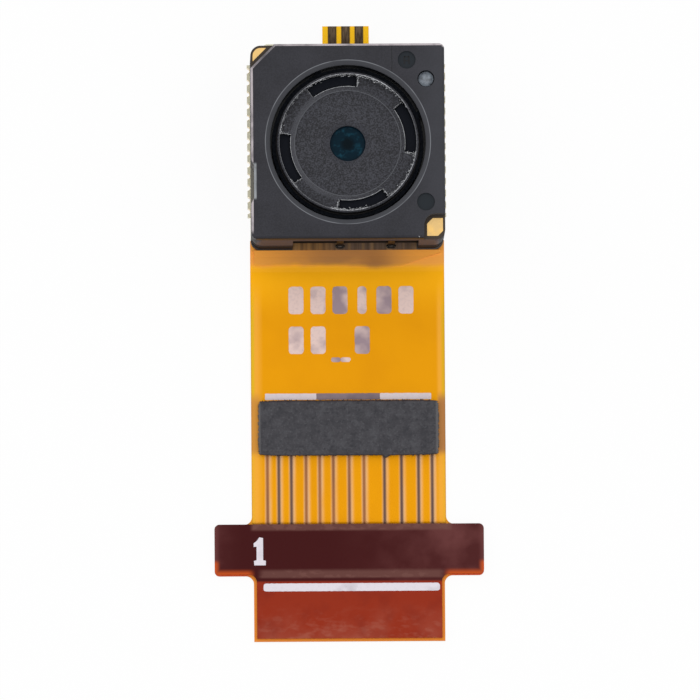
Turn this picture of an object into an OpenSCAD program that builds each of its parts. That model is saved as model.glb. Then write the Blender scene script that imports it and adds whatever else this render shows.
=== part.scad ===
// Autofocus camera module on a flexible printed circuit.
//
// A lens barrel rides in a voice-coil actuator, hung between two leaf springs
// above an image sensor on a small rigid board. A flat flexible circuit leaves
// the board and ends in a plug-in tongue with two locking ears.
//
// Millimetres. +Z looks out of the lens and the circuit leaves along -Y.
// The origin is where the optical axis meets the back face.

/* [Module body] */
// Width of the module body, across X
module_w = 8.5; // [8.4:0.05:9.5]
// How much longer the body is along Y than across X
extra_l = 0.1; // [0:0.02:0.4]
// How far the optical axis lies from the body's middle, toward the circuit
axis_shift = 0.05; // [0:0.01:0.1]
// Radius of the body's upright corners
body_corner_r = 0.45; // [0.2:0.05:0.6]
// Thickness of the moulded side walls
side_wall = 0.2; // [0.15:0.01:0.25]
// Clearance between pieces that drop into one another
fit_gap = 0.02; // [0.01:0.005:0.04]
// Bond line between layers
bond_t = 0.005; // [0.003:0.001:0.01]

/* [Heights] */
// Thickness of the steel plate under the module
plate_t = 0.15; // [0.1:0.01:0.3]
// Thickness of the sensor board
board_t = 0.35; // [0.25:0.01:0.5]
// Height of the filter holder
holder_h = 1.13; // [1.05:0.01:1.4]
// Height of the actuator base
base_h = 0.47; // [0.4:0.01:0.6]
// Height of the actuator frame
frame_h = 1.97; // [1.9:0.01:2.3]
// Thickness of each leaf spring
spring_t = 0.04; // [0.03:0.005:0.06]
// Height of the cover
cover_h = 0.6; // [0.57:0.01:0.8]

/* [Cover] */
// Open ring between the barrel's collar and the cover
ring_gap = 0.3; // [0.25:0.01:0.35]
// Width of the bevel round the opening
opening_bevel = 0.2; // [0.1:0.01:0.25]
// Bevel along the cover's top edges
cover_bevel = 0.1; // [0.05:0.01:0.15]
// Radius of the cover's two plain corners
cover_corner_r = 0.25; // [0.1:0.05:0.4]
// Legs of the cover's straight corner cut
corner_cut = 1.05; // [0.8:0.01:1.1]
// Width of the cover's round corner notch
notch_w = 0.93; // [0.85:0.01:1]
// Length of the cover's round corner notch
notch_l = 1.07; // [0.95:0.01:1.1]
// Radius inside the round corner notch
notch_r = 0.5; // [0.3:0.05:0.6]
// Depth of the shallow relief in the body's side
relief_d = 0.13; // [0.08:0.01:0.14]
// Length of the shallow relief
relief_l = 1.98; // [1.5:0.01:2.2]
// Depth of the two round ejector marks
mark_depth = 0.1; // [0.05:0.01:0.15]
// Radius of the round ejector marks
mark_r = 0.39; // [0.3:0.01:0.42]
// Radius of the domed post in the cover
post_r = 0.33; // [0.2:0.01:0.35]
// Thickness of the gold-plated corner plates
corner_plate_t = 0.03; // [0.02:0.005:0.05]

/* [Lens] */
// From the body's side to the barrel's thread
barrel_margin = 1.25; // [1.23:0.01:1.35]
// How far the barrel's collar stands out over its thread
collar_step = 0.12; // [0.08:0.01:0.15]
// Width of the collar's standing lip
lip_w = 0.11; // [0.08:0.01:0.14]
// How far the collar stays below the cover's top
collar_drop = 0.05; // [0.03:0.01:0.1]
// Depth of the barrel's front face below the collar
front_drop = 0.42; // [0.35:0.01:0.45]
// Radial width of the wrench pockets
pocket_w = 0.49; // [0.4:0.01:0.6]
// Angle that each wrench pocket spans
pocket_span = 45; // [35:1:50]
// Angle of the first wrench pocket
pocket_start = 14; // [0:1:40]
// Depth of the wrench pockets
pocket_depth = 0.25; // [0.15:0.01:0.3]
// Radius of the stop opening
stop_r = 0.78; // [0.6:0.01:0.85]
// Width of the dish round the stop opening
dish_w = 0.24; // [0.1:0.01:0.3]
// Wall of the barrel round its widest bore
barrel_wall = 0.36; // [0.32:0.01:0.45]
// How much each further element grows in radius
lens_grow = 0.33; // [0.25:0.01:0.36]
// Thickness of each element at its flange
lens_flange_t = 0.41; // [0.35:0.01:0.44]
// Thickness of each light shield
shield_t = 0.03; // [0.02:0.005:0.05]
// Height of the retainer ring
retainer_h = 0.2; // [0.12:0.01:0.25]

/* [Actuator] */
// Focus travel of the lens carrier
travel = 0.25; // [0.15:0.01:0.27]
// Wall of the lens carrier round the barrel
carrier_wall = 0.3; // [0.24:0.01:0.31]
// Radial thickness of the coil
coil_t = 0.24; // [0.15:0.01:0.26]
// Height of the coil
coil_h = 1; // [0.7:0.05:1]
// Clearance between the coil and the magnets
magnet_gap = 0.15; // [0.1:0.01:0.2]
// Wall of the steel yoke
yoke_t = 0.15; // [0.1:0.01:0.18]
// Width of the springs' inner rings
spring_ring_w = 0.16; // [0.1:0.01:0.18]
// Width of the springs' arms
spring_arm_w = 0.08; // [0.05:0.01:0.09]
// Angle that each spring arm runs round the lens
spring_arm_span = 62; // [40:1:70]

/* [Sensor] */
// Free board beside the sensor, across X
room_x = 1; // [0.8:0.05:1.2]
// Free board above and below the sensor, along Y
room_y = 1.3; // [1.2:0.05:1.5]
// Thickness of the image sensor
sensor_t = 0.2; // [0.15:0.01:0.25]
// Bond wires along each side of the sensor
wires_per_side = 12; // [6:1:14]
// Spacing of the bond wires
wire_pitch = 0.3; // [0.2:0.01:0.34]
// How far the bond wires reach beside the sensor
wire_reach = 0.45; // [0.35:0.01:0.55]
// Wall of the filter holder at its thinnest
holder_wall = 0.35; // [0.3:0.01:0.4]
// Thickness of the infrared filter
filter_t = 0.21; // [0.15:0.01:0.25]
// Frame of the holder that the filter lies on
filter_lap = 0.5; // [0.3:0.05:0.6]
// Spacing of the plated notches along the board
notch_pitch = 0.52; // [0.45:0.01:0.6]
// Radius of the plated notches
plated_notch_r = 0.11; // [0.08:0.01:0.16]
// How far the board stands out beside the body
board_overhang = 0.125; // [0.1:0.005:0.2]

/* [Flexible circuit] */
// Width of the flexible circuit
flex_w = 8.55; // [8:0.05:9]
// Length from the module body to the ears
flex_l = 12.11; // [10:0.1:14]
// Thickness of the base film
film_t = 0.05; // [0.03:0.005:0.08]
// Thickness of the copper layer
copper_t = 0.02; // [0.01:0.005:0.035]
// Thickness of the cover film
coverlay_t = 0.03; // [0.02:0.005:0.05]
// Length of the bend beside the module
bend_l = 0.75; // [0.5:0.05:1]
// Bare margin along the edges of the copper
copper_margin = 0.15; // [0.1:0.01:0.25]
// Gap between the broad conductors
trace_gap = 0.09; // [0.06:0.01:0.12]
// Width of the tab at the back
tab_w = 2.05; // [1.8:0.05:2.4]
// Length of the tab beyond the body
tab_l = 1.39; // [1:0.01:1.6]
// Spacing of the tab's three contacts
tab_pitch = 0.59; // [0.5:0.01:0.65]
// Width of the tab's contacts
tab_contact_w = 0.25; // [0.15:0.01:0.3]
// Width of the foam pad
foam_w = 8; // [7:0.1:8.4]
// Length of the foam pad
foam_l = 2.42; // [1.5:0.01:3]
// Distance from the foam pad to the ears
foam_gap = 3.05; // [2:0.01:4]
// Thickness of the foam pad
foam_t = 0.35; // [0.2:0.01:0.6]

/* [Plug-in tongue] */
// Number of contacts
contacts = 20; // [10:1:20]
// Spacing of the contacts
contact_pitch = 0.4; // [0.35:0.01:0.42]
// Width of each contact
contact_w = 0.27; // [0.2:0.01:0.3]
// Length of each contact
contact_l = 2.5; // [2:0.05:2.8]
// Thickness of each contact
contact_t = 0.02; // [0.01:0.005:0.03]
// Length of the tongue beyond the ears
tongue_l = 2.9; // [2.9:0.05:3.5]
// Width across the ears
ear_w = 11.85; // [10.5:0.05:13]
// Length of the ears
ear_l = 2.27; // [1.5:0.01:3]
// Radius of the ears' corners
ear_corner_r = 0.22; // [0.1:0.01:0.4]
// Radius where the ears meet the circuit
ear_fillet_r = 0.35; // [0.1:0.01:0.45]
// Thickness of the tongue with its stiffener
tongue_t = 0.3; // [0.25:0.01:0.4]
// Film that shows round the stiffener
film_edge = 0.13; // [0.05:0.01:0.2]

/* [Hidden] */
$fn = 72;
over = 0.5;

// Body outline
half_w = module_w / 2;
wall_up = half_w + extra_l / 2 + axis_shift;
wall_down = half_w + extra_l / 2 - axis_shift;
barrel_r = half_w - barrel_margin;
collar_r = barrel_r + collar_step;
opening_r = collar_r + ring_gap;

// Heights of the stack, from the back face up
flex_t = film_t + bond_t + copper_t + bond_t + coverlay_t;
film_z = plate_t + bond_t;
board_z = film_z + flex_t + bond_t;
board_top = board_z + board_t;
holder_z = board_top + bond_t;
holder_top = holder_z + holder_h;
base_z = holder_top + bond_t;
base_top = base_z + base_h;
frame_z = base_top + bond_t + spring_t + bond_t;
frame_top = frame_z + frame_h;
cover_z = frame_top + bond_t + spring_t + bond_t;
cover_top = cover_z + cover_h;

// Flexible circuit
bend_rise = film_z - contact_t;
bend_start = -wall_down;
bend_end = bend_start - bend_l;
bend_steps = 6;
glue_h = 0.4;
glue_edge_t = 0.02;
ear_start = -wall_down - flex_l;
ear_end = ear_start - ear_l;
tongue_end = ear_end - tongue_l;
tongue_w = (contacts + 1) * contact_pitch;
tab_end = wall_up + tab_l;
plane_end = ear_start + foam_gap + foam_l / 2;
// Relative widths of the thirteen broad conductors, from -X to +X
conductors = [0.7, 0.5, 0.55, 0.65, 0.6, 0.6, 0.7, 0.65, 0.9, 0.75, 0.75, 0.6, 0.6];

// Actuator
cavity = half_w - side_wall;
cavity_r = 0.3;
yoke_half = cavity - fit_gap;
yoke_z = frame_z + fit_gap;
yoke_top = frame_top - 0.25;
magnet_half = yoke_half - yoke_t - fit_gap;
magnet_z = frame_z + 0.17;
magnet_top = yoke_top - yoke_t - fit_gap;
carrier_bore = barrel_r + fit_gap;
carrier_r = carrier_bore + carrier_wall;
coil_r = carrier_r + fit_gap;
lift_gap = 0.07;
coil_z = yoke_top - yoke_t - travel - lift_gap - coil_h;
magnet_face = coil_r + coil_t + magnet_gap;
yoke_hole_r = carrier_r + 0.18;
ring_r = collar_r + 0.04;
arm_r = yoke_hole_r - spring_arm_w;
spring_hole_r = yoke_hole_r + 0.22;
spring_half = cavity - 0.15;
spring_chamfer = 2 * spring_half - (half_w - notch_w) - (wall_down - notch_l);
rim_half = spring_half + fit_gap;
base_hole_r = barrel_r + 0.15;
cavity_h = spring_t + travel + 0.04;

// Lens, from the front down
collar_top = cover_top - collar_drop;
front_z = collar_top - front_drop;
pocket_r = collar_r - lip_w - pocket_w;
dish_r = stop_r + dish_w;
retainer_lap = 0.2;
lens_r = barrel_r - barrel_wall - retainer_lap - 3 * lens_grow;
step_d = 0.04;
step_r = pocket_r - 0.2;
disc_z = front_z - step_d;
dish_d = 0.1;
stop_land = 0.08;
seat_relief = 0.15;
seat_z = disc_z - dish_d - stop_land - seat_relief;
element_step = lens_flange_t + shield_t + 2 * bond_t;
barrel_z = seat_z - 4 * element_step - retainer_h - fit_gap;
collar_z = cover_z + bond_t;

// Window in the wall beside the circuit, where the pins come down
window_left = -half_w + 1.83;
window_right = half_w - 1.15;
window_d = 0.3;
pin_w = 0.3;
pin_t = 0.1;
pin_xs = [window_left + 2.1, window_right - 1.17];

// Places on the cover
relief_y = -wall_down + 2.54;
mark_places = [[half_w - 1.65, wall_up - 0.74], [half_w - 0.85, -wall_down + 1.59]];
post_place = [half_w - 0.81, wall_up - 1.57];
post_gap = 0.04;

// Sensor board
board_half = half_w + board_overhang;
plating_t = 0.02;
plated_low = 1.72;
plated_high = 0.6;
plated_count = floor((wall_up + wall_down - plated_low - plated_high) / notch_pitch) + 1;
lobe_l = 0.55;
sensor_z = holder_z;
pocket_half = half_w - window_d - holder_wall;
sensor_w = 2 * (pocket_half - room_x);
sensor_l = 2 * (pocket_half - room_y);
wire_t = 0.03;
wire_rise = 0.12;
chip_w = 0.3;
window_w = sensor_w - 0.6;
window_l = sensor_l - 0.8;
seat_w = window_w + 2 * filter_lap;
seat_l = window_l + 2 * filter_lap;
seat_floor = holder_top - filter_t - 2 * fit_gap;
holder_roof_t = 0.2;

// ---- Shared outlines -------------------------------------------------------

// Rectangle between two corners with true round corners
module round_rect(x0, y0, x1, y1, r) {
    translate([x0 + r, y0]) square([x1 - x0 - 2 * r, y1 - y0]);
    translate([x0, y0 + r]) square([x1 - x0, y1 - y0 - 2 * r]);
    for (x = [x0 + r, x1 - r], y = [y0 + r, y1 - r]) translate([x, y]) circle(r);
}

// Outline of the module body, drawn in by inset on every side
module body_outline(inset, r) {
    round_rect(-half_w + inset, -wall_down + inset, half_w - inset, wall_up - inset, r);
}

// Square about the optical axis with its four corners cut off
module cut_square(half, cut) {
    polygon([
        [half - cut, half], [-half + cut, half], [-half, half - cut], [-half, -half + cut],
        [-half + cut, -half], [half - cut, -half], [half, -half + cut], [half, half - cut]
    ]);
}

// Solid of an outline between two heights
module slab(z0, z1) {
    translate([0, 0, z0]) linear_extrude(z1 - z0) children();
}

// Part of a flat ring between two radii and two angles
module ring_sector(r0, r1, from, to) {
    reach = r1 / cos((to - from) / 4) + 0.1;
    intersection() {
        difference() {
            circle(r1);
            circle(r0);
        }
        polygon([
            [0, 0],
            [reach * cos(from), reach * sin(from)],
            [reach * cos((3 * from + to) / 4), reach * sin((3 * from + to) / 4)],
            [reach * cos((from + to) / 2), reach * sin((from + to) / 2)],
            [reach * cos((from + 3 * to) / 4), reach * sin((from + 3 * to) / 4)],
            [reach * cos(to), reach * sin(to)]
        ]);
    }
}

// Shallow relief in the body's left side, with sloped ends
module relief_outline() {
    slope = 2 * relief_d;
    polygon([
        [-half_w - over, relief_y - relief_l / 2],
        [-half_w, relief_y - relief_l / 2],
        [-half_w + relief_d, relief_y - relief_l / 2 + slope],
        [-half_w + relief_d, relief_y + relief_l / 2 - slope],
        [-half_w, relief_y + relief_l / 2],
        [-half_w - over, relief_y + relief_l / 2]
    ]);
}

// Clearance in the wall beside the circuit, from the body's face inward
module window_outline(depth) {
    translate([window_left, -wall_down - over])
        square([window_right - window_left, depth + over]);
}

// ---- Flexible circuit ------------------------------------------------------

// Height of the circuit above its own lowest level, at a place along Y
function bend_part(y) = max(0, min(1, (y - bend_end) / bend_l));
function flex_rise(y) = bend_rise * pow(bend_part(y), 2) * (3 - 2 * bend_part(y));
function bend_stations() = [for (i = [0:bend_steps]) bend_end + bend_l * i / bend_steps];

// Ribbon that follows the bend, from z0 to z1 above the circuit's lowest level
module flex_ribbon(z0, z1) {
    ys = concat([tongue_end - over], bend_stations(), [tab_end + over]);
    lower = [for (y = ys) [y, z0 + flex_rise(y)]];
    upper = [for (i = [len(ys) - 1:-1:0]) [ys[i], z1 + flex_rise(ys[i])]];
    translate([-ear_w, 0, 0]) rotate([90, 0, 90])
        linear_extrude(2 * ear_w) polygon(concat(lower, upper));
}

// A layer of the circuit: an outline laid on the bent ribbon
module flex_layer(z0, z1) {
    intersection() {
        flex_ribbon(contact_t + z0, contact_t + z1);
        slab(-over, board_z + over) children();
    }
}

// Concave fillet in the corner at a point, opening toward the given signs
module fillet_at(x, y, r, sx, sy) {
    translate([x, y]) scale_signs(sx, sy) difference() {
        translate([-0.05, -0.05]) square(r + 0.05);
        translate([r, r]) circle(r);
    }
}

// Mirrors an outline into the quadrant given by two signs
module scale_signs(sx, sy) {
    mirror([sx < 0 ? 1 : 0, 0]) mirror([0, sy < 0 ? 1 : 0]) children();
}

// Ears and tongue, with the tongue's sides drawn in by inset and its end by
// end_inset. The ears' lower edge is drawn in too, their upper edge is not.
module tail_outline(inset, low_inset) {
    side = tongue_w / 2 - inset;
    round_rect(-ear_w / 2, ear_end + low_inset, ear_w / 2, ear_start, ear_corner_r);
    translate([-side, tongue_end + inset]) square([2 * side, ear_start - tongue_end - inset]);
    for (s = [-1, 1]) fillet_at(s * side, ear_end + low_inset, ear_fillet_r, s, -1);
}

// Outline of the whole film, from the tab to the tongue
module film_outline() {
    translate([-flex_w / 2, ear_start - over])
        square([flex_w, over + flex_l + body_corner_r]);
    body_outline(0.1, body_corner_r);
    translate([-tab_w / 2, 0]) square([tab_w, tab_end]);
    tail_outline(0, 0);
    for (s = [-1, 1]) fillet_at(s * flex_w / 2, ear_start, ear_fillet_r, s, 1);
}

module flex_film() {
    color("orange") flex_layer(0, film_t) film_outline();
}

// Sum of the first n entries of the conductors' widths
function conductor_sum(n) = n == 0 ? 0 : conductors[n - 1] + conductor_sum(n - 1);

module copper_traces() {
    z0 = film_t + bond_t;
    unit = flex_w / conductor_sum(len(conductors));
    limit = flex_w / 2 - copper_margin;
    color("gold") flex_layer(z0, z0 + copper_t) {
        translate([-limit, plane_end]) square([2 * limit, -plane_end]);
        translate([-half_w + 0.3, -over]) square([module_w - 0.6, wall_up - 0.3 + over]);
        for (i = [0:len(conductors) - 1]) {
            from = -flex_w / 2 + unit * conductor_sum(i) + trace_gap / 2;
            to = -flex_w / 2 + unit * conductor_sum(i + 1) - trace_gap / 2;
            x0 = max(from, -limit);
            translate([x0, ear_end + ear_fillet_r])
                square([min(to, limit) - x0, plane_end - trace_gap - ear_end - ear_fillet_r]);
        }
    }
}

module coverlay() {
    z0 = film_t + copper_t + 2 * bond_t;
    color("goldenrod") flex_layer(z0, z0 + coverlay_t) difference() {
        film_outline();
        translate([-ear_w, wall_up - 0.3]) square([2 * ear_w, tab_l + 1]);
    }
}

module tab_contacts() {
    z0 = film_t + bond_t;
    color("dimgray") flex_layer(z0, z0 + copper_t) for (i = [-1:1])
        translate([i * tab_pitch - tab_contact_w / 2, wall_up - 0.25])
            square([tab_contact_w, tab_l + 0.25 - bond_t]);
}

module contact_fingers() {
    end = tongue_end + film_edge / 2;
    color("gold") slab(0, contact_t - bond_t / 2) for (i = [0:contacts - 1])
        translate([(i - (contacts - 1) / 2) * contact_pitch - contact_w / 2, end])
            square([contact_w, contact_l]);
}

module tail_stiffener() {
    color("maroon") slab(contact_t + flex_t + bond_t, tongue_t)
        tail_outline(film_edge, film_edge / 2);
}

module foam_pad() {
    z0 = contact_t + flex_t + bond_t;
    y0 = ear_start + foam_gap;
    color("dimgray") slab(z0, z0 + foam_t)
        round_rect(-foam_w / 2, y0, foam_w / 2, y0 + foam_l, 0.15);
}

// Bead of glue in the bend, thinning out along a wandering edge
module edge_glue() {
    top = contact_t + flex_t + bond_t;
    side = flex_w / 2 - copper_margin - glue_edge_t;
    ys = [for (i = [bend_steps:-1:0]) bend_end + bend_l * i / bend_steps];
    under = [for (y = ys) [y - bond_t, top + flex_rise(y)]];
    above = [
        [bend_end - bond_t, top + glue_edge_t], [bend_end + 0.3 * bend_l, top + 0.22 * glue_h],
        [bend_end + 0.65 * bend_l, top + 0.5 * glue_h], [bend_start - bond_t, top + glue_h]
    ];
    color("peru") intersection() {
        translate([-side, 0, 0]) rotate([90, 0, 90])
            linear_extrude(2 * side) polygon(concat(under, above));
        slab(-over, frame_z) polygon([
            [-side, bend_start + over], [-side, bend_end + 0.18 * bend_l],
            [-0.5 * side, bend_end + 0.2 * bend_l], [0, bend_end + 0.16 * bend_l],
            [0.32 * side, bend_end + 0.02 * bend_l], [0.6 * side, bend_end + 0.15 * bend_l],
            [0.82 * side, bend_end + 0.55 * bend_l], [side, bend_end + 0.85 * bend_l],
            [side, bend_start + over]
        ]);
    }
}

module back_stiffener() {
    color("silver") slab(0, plate_t) body_outline(0.1, body_corner_r);
}

// ---- Sensor and board ------------------------------------------------------

// Calls its children at every plated notch of the board
module at_plated_notches() {
    for (s = [-1, 1], i = [0:plated_count - 1])
        translate([s * board_half, -wall_down + plated_low + i * notch_pitch]) children();
}

// Board outline without its plated notches
module board_blank() {
    difference() {
        union() {
            body_outline(0, body_corner_r);
            translate([-board_half, -wall_down + plated_low - notch_pitch / 2])
                square([2 * board_half, plated_count * notch_pitch]);
            round_rect(-half_w + 0.55, 0, -half_w + 2.15, wall_up + lobe_l, 0.25);
            round_rect(half_w - 2.35, 0, half_w - 0.35, wall_up + lobe_l, 0.25);
        }
        translate([-tab_w / 2 - 0.15, wall_up - 0.2]) square([tab_w + 0.3, 1]);
    }
}

module sensor_board() {
    color("darkolivegreen") slab(board_z, board_top) difference() {
        board_blank();
        at_plated_notches() circle(plated_notch_r + plating_t + bond_t);
    }
}

module board_edge_pads() {
    color("khaki") slab(board_z, board_top) intersection() {
        translate([-board_half, -wall_down]) square([2 * board_half, wall_down + wall_up]);
        difference() {
            at_plated_notches() circle(plated_notch_r + plating_t);
            at_plated_notches() circle(plated_notch_r);
        }
    }
}

module image_sensor() {
    color("darkslategray") slab(sensor_z, sensor_z + sensor_t)
        translate([-sensor_w / 2, -sensor_l / 2]) square([sensor_w, sensor_l]);
}

// One bond wire in the XZ plane, from a pad on the sensor out to the board
module bond_wire() {
    top = sensor_t + bond_t;
    translate([0, wire_t / 2, 0]) rotate([90, 0, 0]) linear_extrude(wire_t) polygon([
        [-0.12, top], [-0.12, top + wire_rise], [0.12, top + wire_rise],
        [wire_reach, 0.03], [wire_reach + 0.05, 0.03], [wire_reach + 0.05, bond_t],
        [wire_reach - 0.03, bond_t], [0.1, top + wire_rise - wire_t],
        [-0.12 + wire_t, top + wire_rise - wire_t], [-0.12 + wire_t, top]
    ]);
}

module bond_wires() {
    color("gold") for (side = [0:3], i = [0:wires_per_side - 1]) {
        edge = side % 2 == 0 ? sensor_w / 2 : sensor_l / 2;
        along = (i - (wires_per_side - 1) / 2) * wire_pitch;
        rotate([0, 0, 90 * side]) translate([edge, along, sensor_z]) bond_wire();
    }
}

module board_capacitors() {
    far = pocket_half - chip_w - 0.1;
    color("tan") for (x = [-1, 1], y = [-1, 1])
        translate([x * (sensor_w / 2 - chip_w), y * (far + chip_w / 2), holder_z])
            translate([-chip_w, -chip_w / 2, 0]) cube([2 * chip_w, chip_w, chip_w]);
}

module driver_chip() {
    wide = 2.5 * chip_w;
    color("dimgray") translate([-wide / 2, -pocket_half + 0.1, holder_z])
        cube([wide, 1.4 * chip_w, chip_w]);
}

module filter_holder() {
    color("black") difference() {
        slab(holder_z, holder_top) difference() {
            body_outline(0.05, body_corner_r);
            window_outline(window_d);
        }
        slab(holder_z - over, seat_floor - holder_roof_t)
            round_rect(-pocket_half, -pocket_half, pocket_half, pocket_half, 0.3);
        slab(holder_z, holder_top + over)
            translate([-window_w / 2, -window_l / 2]) square([window_w, window_l]);
        slab(seat_floor, holder_top + over)
            translate([-seat_w / 2, -seat_l / 2]) square([seat_w, seat_l]);
    }
}

module ir_filter() {
    wide = seat_w - 2 * fit_gap;
    long = seat_l - 2 * fit_gap;
    color("lightblue") slab(seat_floor + fit_gap, seat_floor + fit_gap + filter_t)
        translate([-wide / 2, -long / 2]) square([wide, long]);
}

// ---- Actuator --------------------------------------------------------------

module actuator_base() {
    color("black") difference() {
        slab(base_z, frame_z - bond_t) difference() {
            body_outline(0, body_corner_r);
            window_outline(window_d);
            circle(base_hole_r);
        }
        slab(base_top, frame_z + over) cut_square(rim_half, spring_chamfer);
    }
}

// Two bent pins that come down the window and stand on the board
module actuator_terminals() {
    back = -wall_down + window_d - bond_t;
    foot = back - window_d + 0.05;
    pin_top = base_top - pin_t;
    color("silver") for (x = pin_xs) translate([x - pin_w / 2, 0, 0]) rotate([90, 0, 90])
        linear_extrude(pin_w) polygon([
            [back, holder_z], [back, pin_top], [back - pin_t, pin_top],
            [back - pin_t, holder_z + pin_t], [foot, holder_z + pin_t], [foot, holder_z]
        ]);
}

// Leaf spring: outer frame, four arms round the lens and an inner ring
module leaf_spring(z) {
    slab(z, z + spring_t) {
        difference() {
            cut_square(spring_half, spring_chamfer);
            circle(spring_hole_r);
            translate(post_place) circle(post_r + 2 * post_gap);
        }
        difference() {
            circle(ring_r + spring_ring_w);
            circle(ring_r);
        }
        for (a = [20:90:290]) {
            ring_sector(arm_r, arm_r + spring_arm_w, a, a + spring_arm_span);
            ring_sector(ring_r + spring_ring_w / 2, arm_r + spring_arm_w, a, a + 4);
            ring_sector(arm_r, spring_hole_r + spring_arm_w, a + spring_arm_span - 4, a + spring_arm_span);
        }
    }
}

module lower_spring() {
    color("darkgoldenrod") leaf_spring(base_top + bond_t);
}

module upper_spring() {
    color("darkgoldenrod") leaf_spring(frame_top + bond_t);
}

module corner_notch_outline() {
    round_rect(half_w - notch_w, -wall_down - 2, half_w + 2, -wall_down + notch_l, notch_r);
}

// Gold-plated plates on the ledges at the two open corners
module corner_plates(grow) {
    edge = 0.1 - grow;
    leg = 0.6 + 2 * grow;
    x0 = half_w - notch_w + 0.13 - grow;
    x1 = half_w - edge;
    y0 = -wall_down + 0.15 - grow;
    y1 = -wall_down + notch_l - 0.13 + grow;
    intersection() {
        polygon([
            [-half_w + edge, wall_up - edge], [-half_w + edge + leg, wall_up - edge],
            [-half_w + edge, wall_up - edge - leg]
        ]);
        body_outline(edge, body_corner_r - edge);
    }
    polygon([
        [x0, y0], [x1 - 0.22, y0], [x1, y0 + 0.22], [x1, y1], [x0 + 0.25, y1],
        [x0, y1 - 0.25]
    ]);
}

module corner_contacts() {
    top = cover_z - bond_t;
    color("gold") slab(top - corner_plate_t, top) corner_plates(0);
}

module actuator_frame() {
    rim_top = cover_z - bond_t;
    color("black") difference() {
        slab(frame_z, rim_top) difference() {
            body_outline(0, body_corner_r);
            relief_outline();
        }
        slab(frame_z - over, yoke_top + fit_gap)
            round_rect(-cavity, -cavity, cavity, cavity, cavity_r);
        slab(frame_z, rim_top + over) circle(yoke_hole_r);
        slab(frame_top, rim_top + over) cut_square(rim_half, spring_chamfer);
        slab(frame_z - over, yoke_top - 0.1) window_outline(window_d);
        slab(rim_top - corner_plate_t - bond_t, rim_top + over) corner_plates(bond_t);
    }
}

module yoke() {
    inner = yoke_half - yoke_t;
    color("gray") difference() {
        slab(yoke_z, yoke_top)
            round_rect(-yoke_half, -yoke_half, yoke_half, yoke_half, cavity_r);
        slab(yoke_z - over, yoke_top - yoke_t)
            round_rect(-inner, -inner, inner, inner, cavity_r - yoke_t);
        slab(yoke_z, yoke_top + over) circle(yoke_hole_r);
    }
}

module magnets() {
    flat = magnet_face * sqrt(2) - magnet_half;
    color("darkgray") slab(magnet_z, magnet_top) for (a = [0:90:270]) rotate(a)
        intersection() {
            polygon([[magnet_half, flat], [magnet_half, magnet_half], [flat, magnet_half]]);
            round_rect(0, 0, magnet_half, magnet_half, cavity_r - yoke_t);
        }
}

module lens_carrier() {
    flange_r = carrier_r + 0.15;
    color("black") difference() {
        union() {
            translate([0, 0, frame_z]) cylinder(h = frame_h, r = carrier_r);
            translate([0, 0, frame_z]) cylinder(h = coil_z - frame_z - fit_gap, r = flange_r);
        }
        translate([0, 0, frame_z - over]) cylinder(h = frame_h + 2 * over, r = carrier_bore);
    }
}

module coil() {
    color("chocolate") translate([0, 0, coil_z]) difference() {
        cylinder(h = coil_h, r = coil_r + coil_t);
        translate([0, 0, -over]) cylinder(h = coil_h + 2 * over, r = coil_r);
    }
}

// Cover outline with its straight corner cut, round notch and side relief
module cover_outline() {
    difference() {
        body_outline(0, cover_corner_r);
        polygon([
            [-half_w - over, wall_up + over], [-half_w + corner_cut + over, wall_up + over],
            [-half_w + corner_cut, wall_up], [-half_w, wall_up - corner_cut],
            [-half_w - over, wall_up - corner_cut - over]
        ]);
        corner_notch_outline();
        relief_outline();
    }
}

// Upright profile with bevelled top corners, laid along one direction
module bevel_bar(from, to, turn) {
    long = 3 * module_w;
    rotate([90, 0, turn]) translate([0, 0, -long / 2]) linear_extrude(long) polygon([
        [from, cover_z - over], [to, cover_z - over], [to, cover_top - cover_bevel],
        [to - cover_bevel, cover_top], [from + cover_bevel, cover_top],
        [from, cover_top - cover_bevel]
    ]);
}

module cover() {
    cut_reach = (half_w + wall_up - corner_cut) / sqrt(2);
    color("dimgray") difference() {
        intersection() {
            slab(cover_z, cover_top) cover_outline();
            bevel_bar(-half_w, half_w, 0);
            bevel_bar(-wall_down, wall_up, 90);
            bevel_bar(-2 * module_w, cut_reach, 135);
        }
        translate([0, 0, cover_z - over]) cylinder(h = cover_h + 2 * over, r = opening_r);
        translate([0, 0, cover_z - over]) cylinder(h = cavity_h + over, r = spring_hole_r);
        translate([0, 0, cover_top - 0.12])
            cylinder(h = 0.12 + bond_t, r1 = opening_r, r2 = opening_r + opening_bevel);
        for (p = mark_places) translate([p.x, p.y, cover_top - mark_depth])
            cylinder(h = over, r = mark_r);
        translate([post_place.x, post_place.y, cover_z - over])
            cylinder(h = cover_h + 2 * over, r = post_r + post_gap);
    }
}

module cover_post() {
    top = cover_top - 0.08;
    dome = 0.1;
    dome_r = (post_r * post_r + dome * dome) / (2 * dome);
    z0 = frame_top + bond_t;
    color("lightsteelblue") translate([post_place.x, post_place.y, 0]) {
        translate([0, 0, z0]) cylinder(h = top - dome - z0, r = post_r);
        intersection() {
            translate([0, 0, top - dome - 0.05]) cylinder(h = dome + 0.1, r = post_r);
            translate([0, 0, top - dome_r]) sphere(dome_r);
        }
    }
}

// ---- Lens ------------------------------------------------------------------

// Upper face and radius of the flange of element i, counted from the front
function element_top(i) = seat_z - bond_t - i * element_step;
function element_r(i) = lens_r + i * lens_grow;

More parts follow.
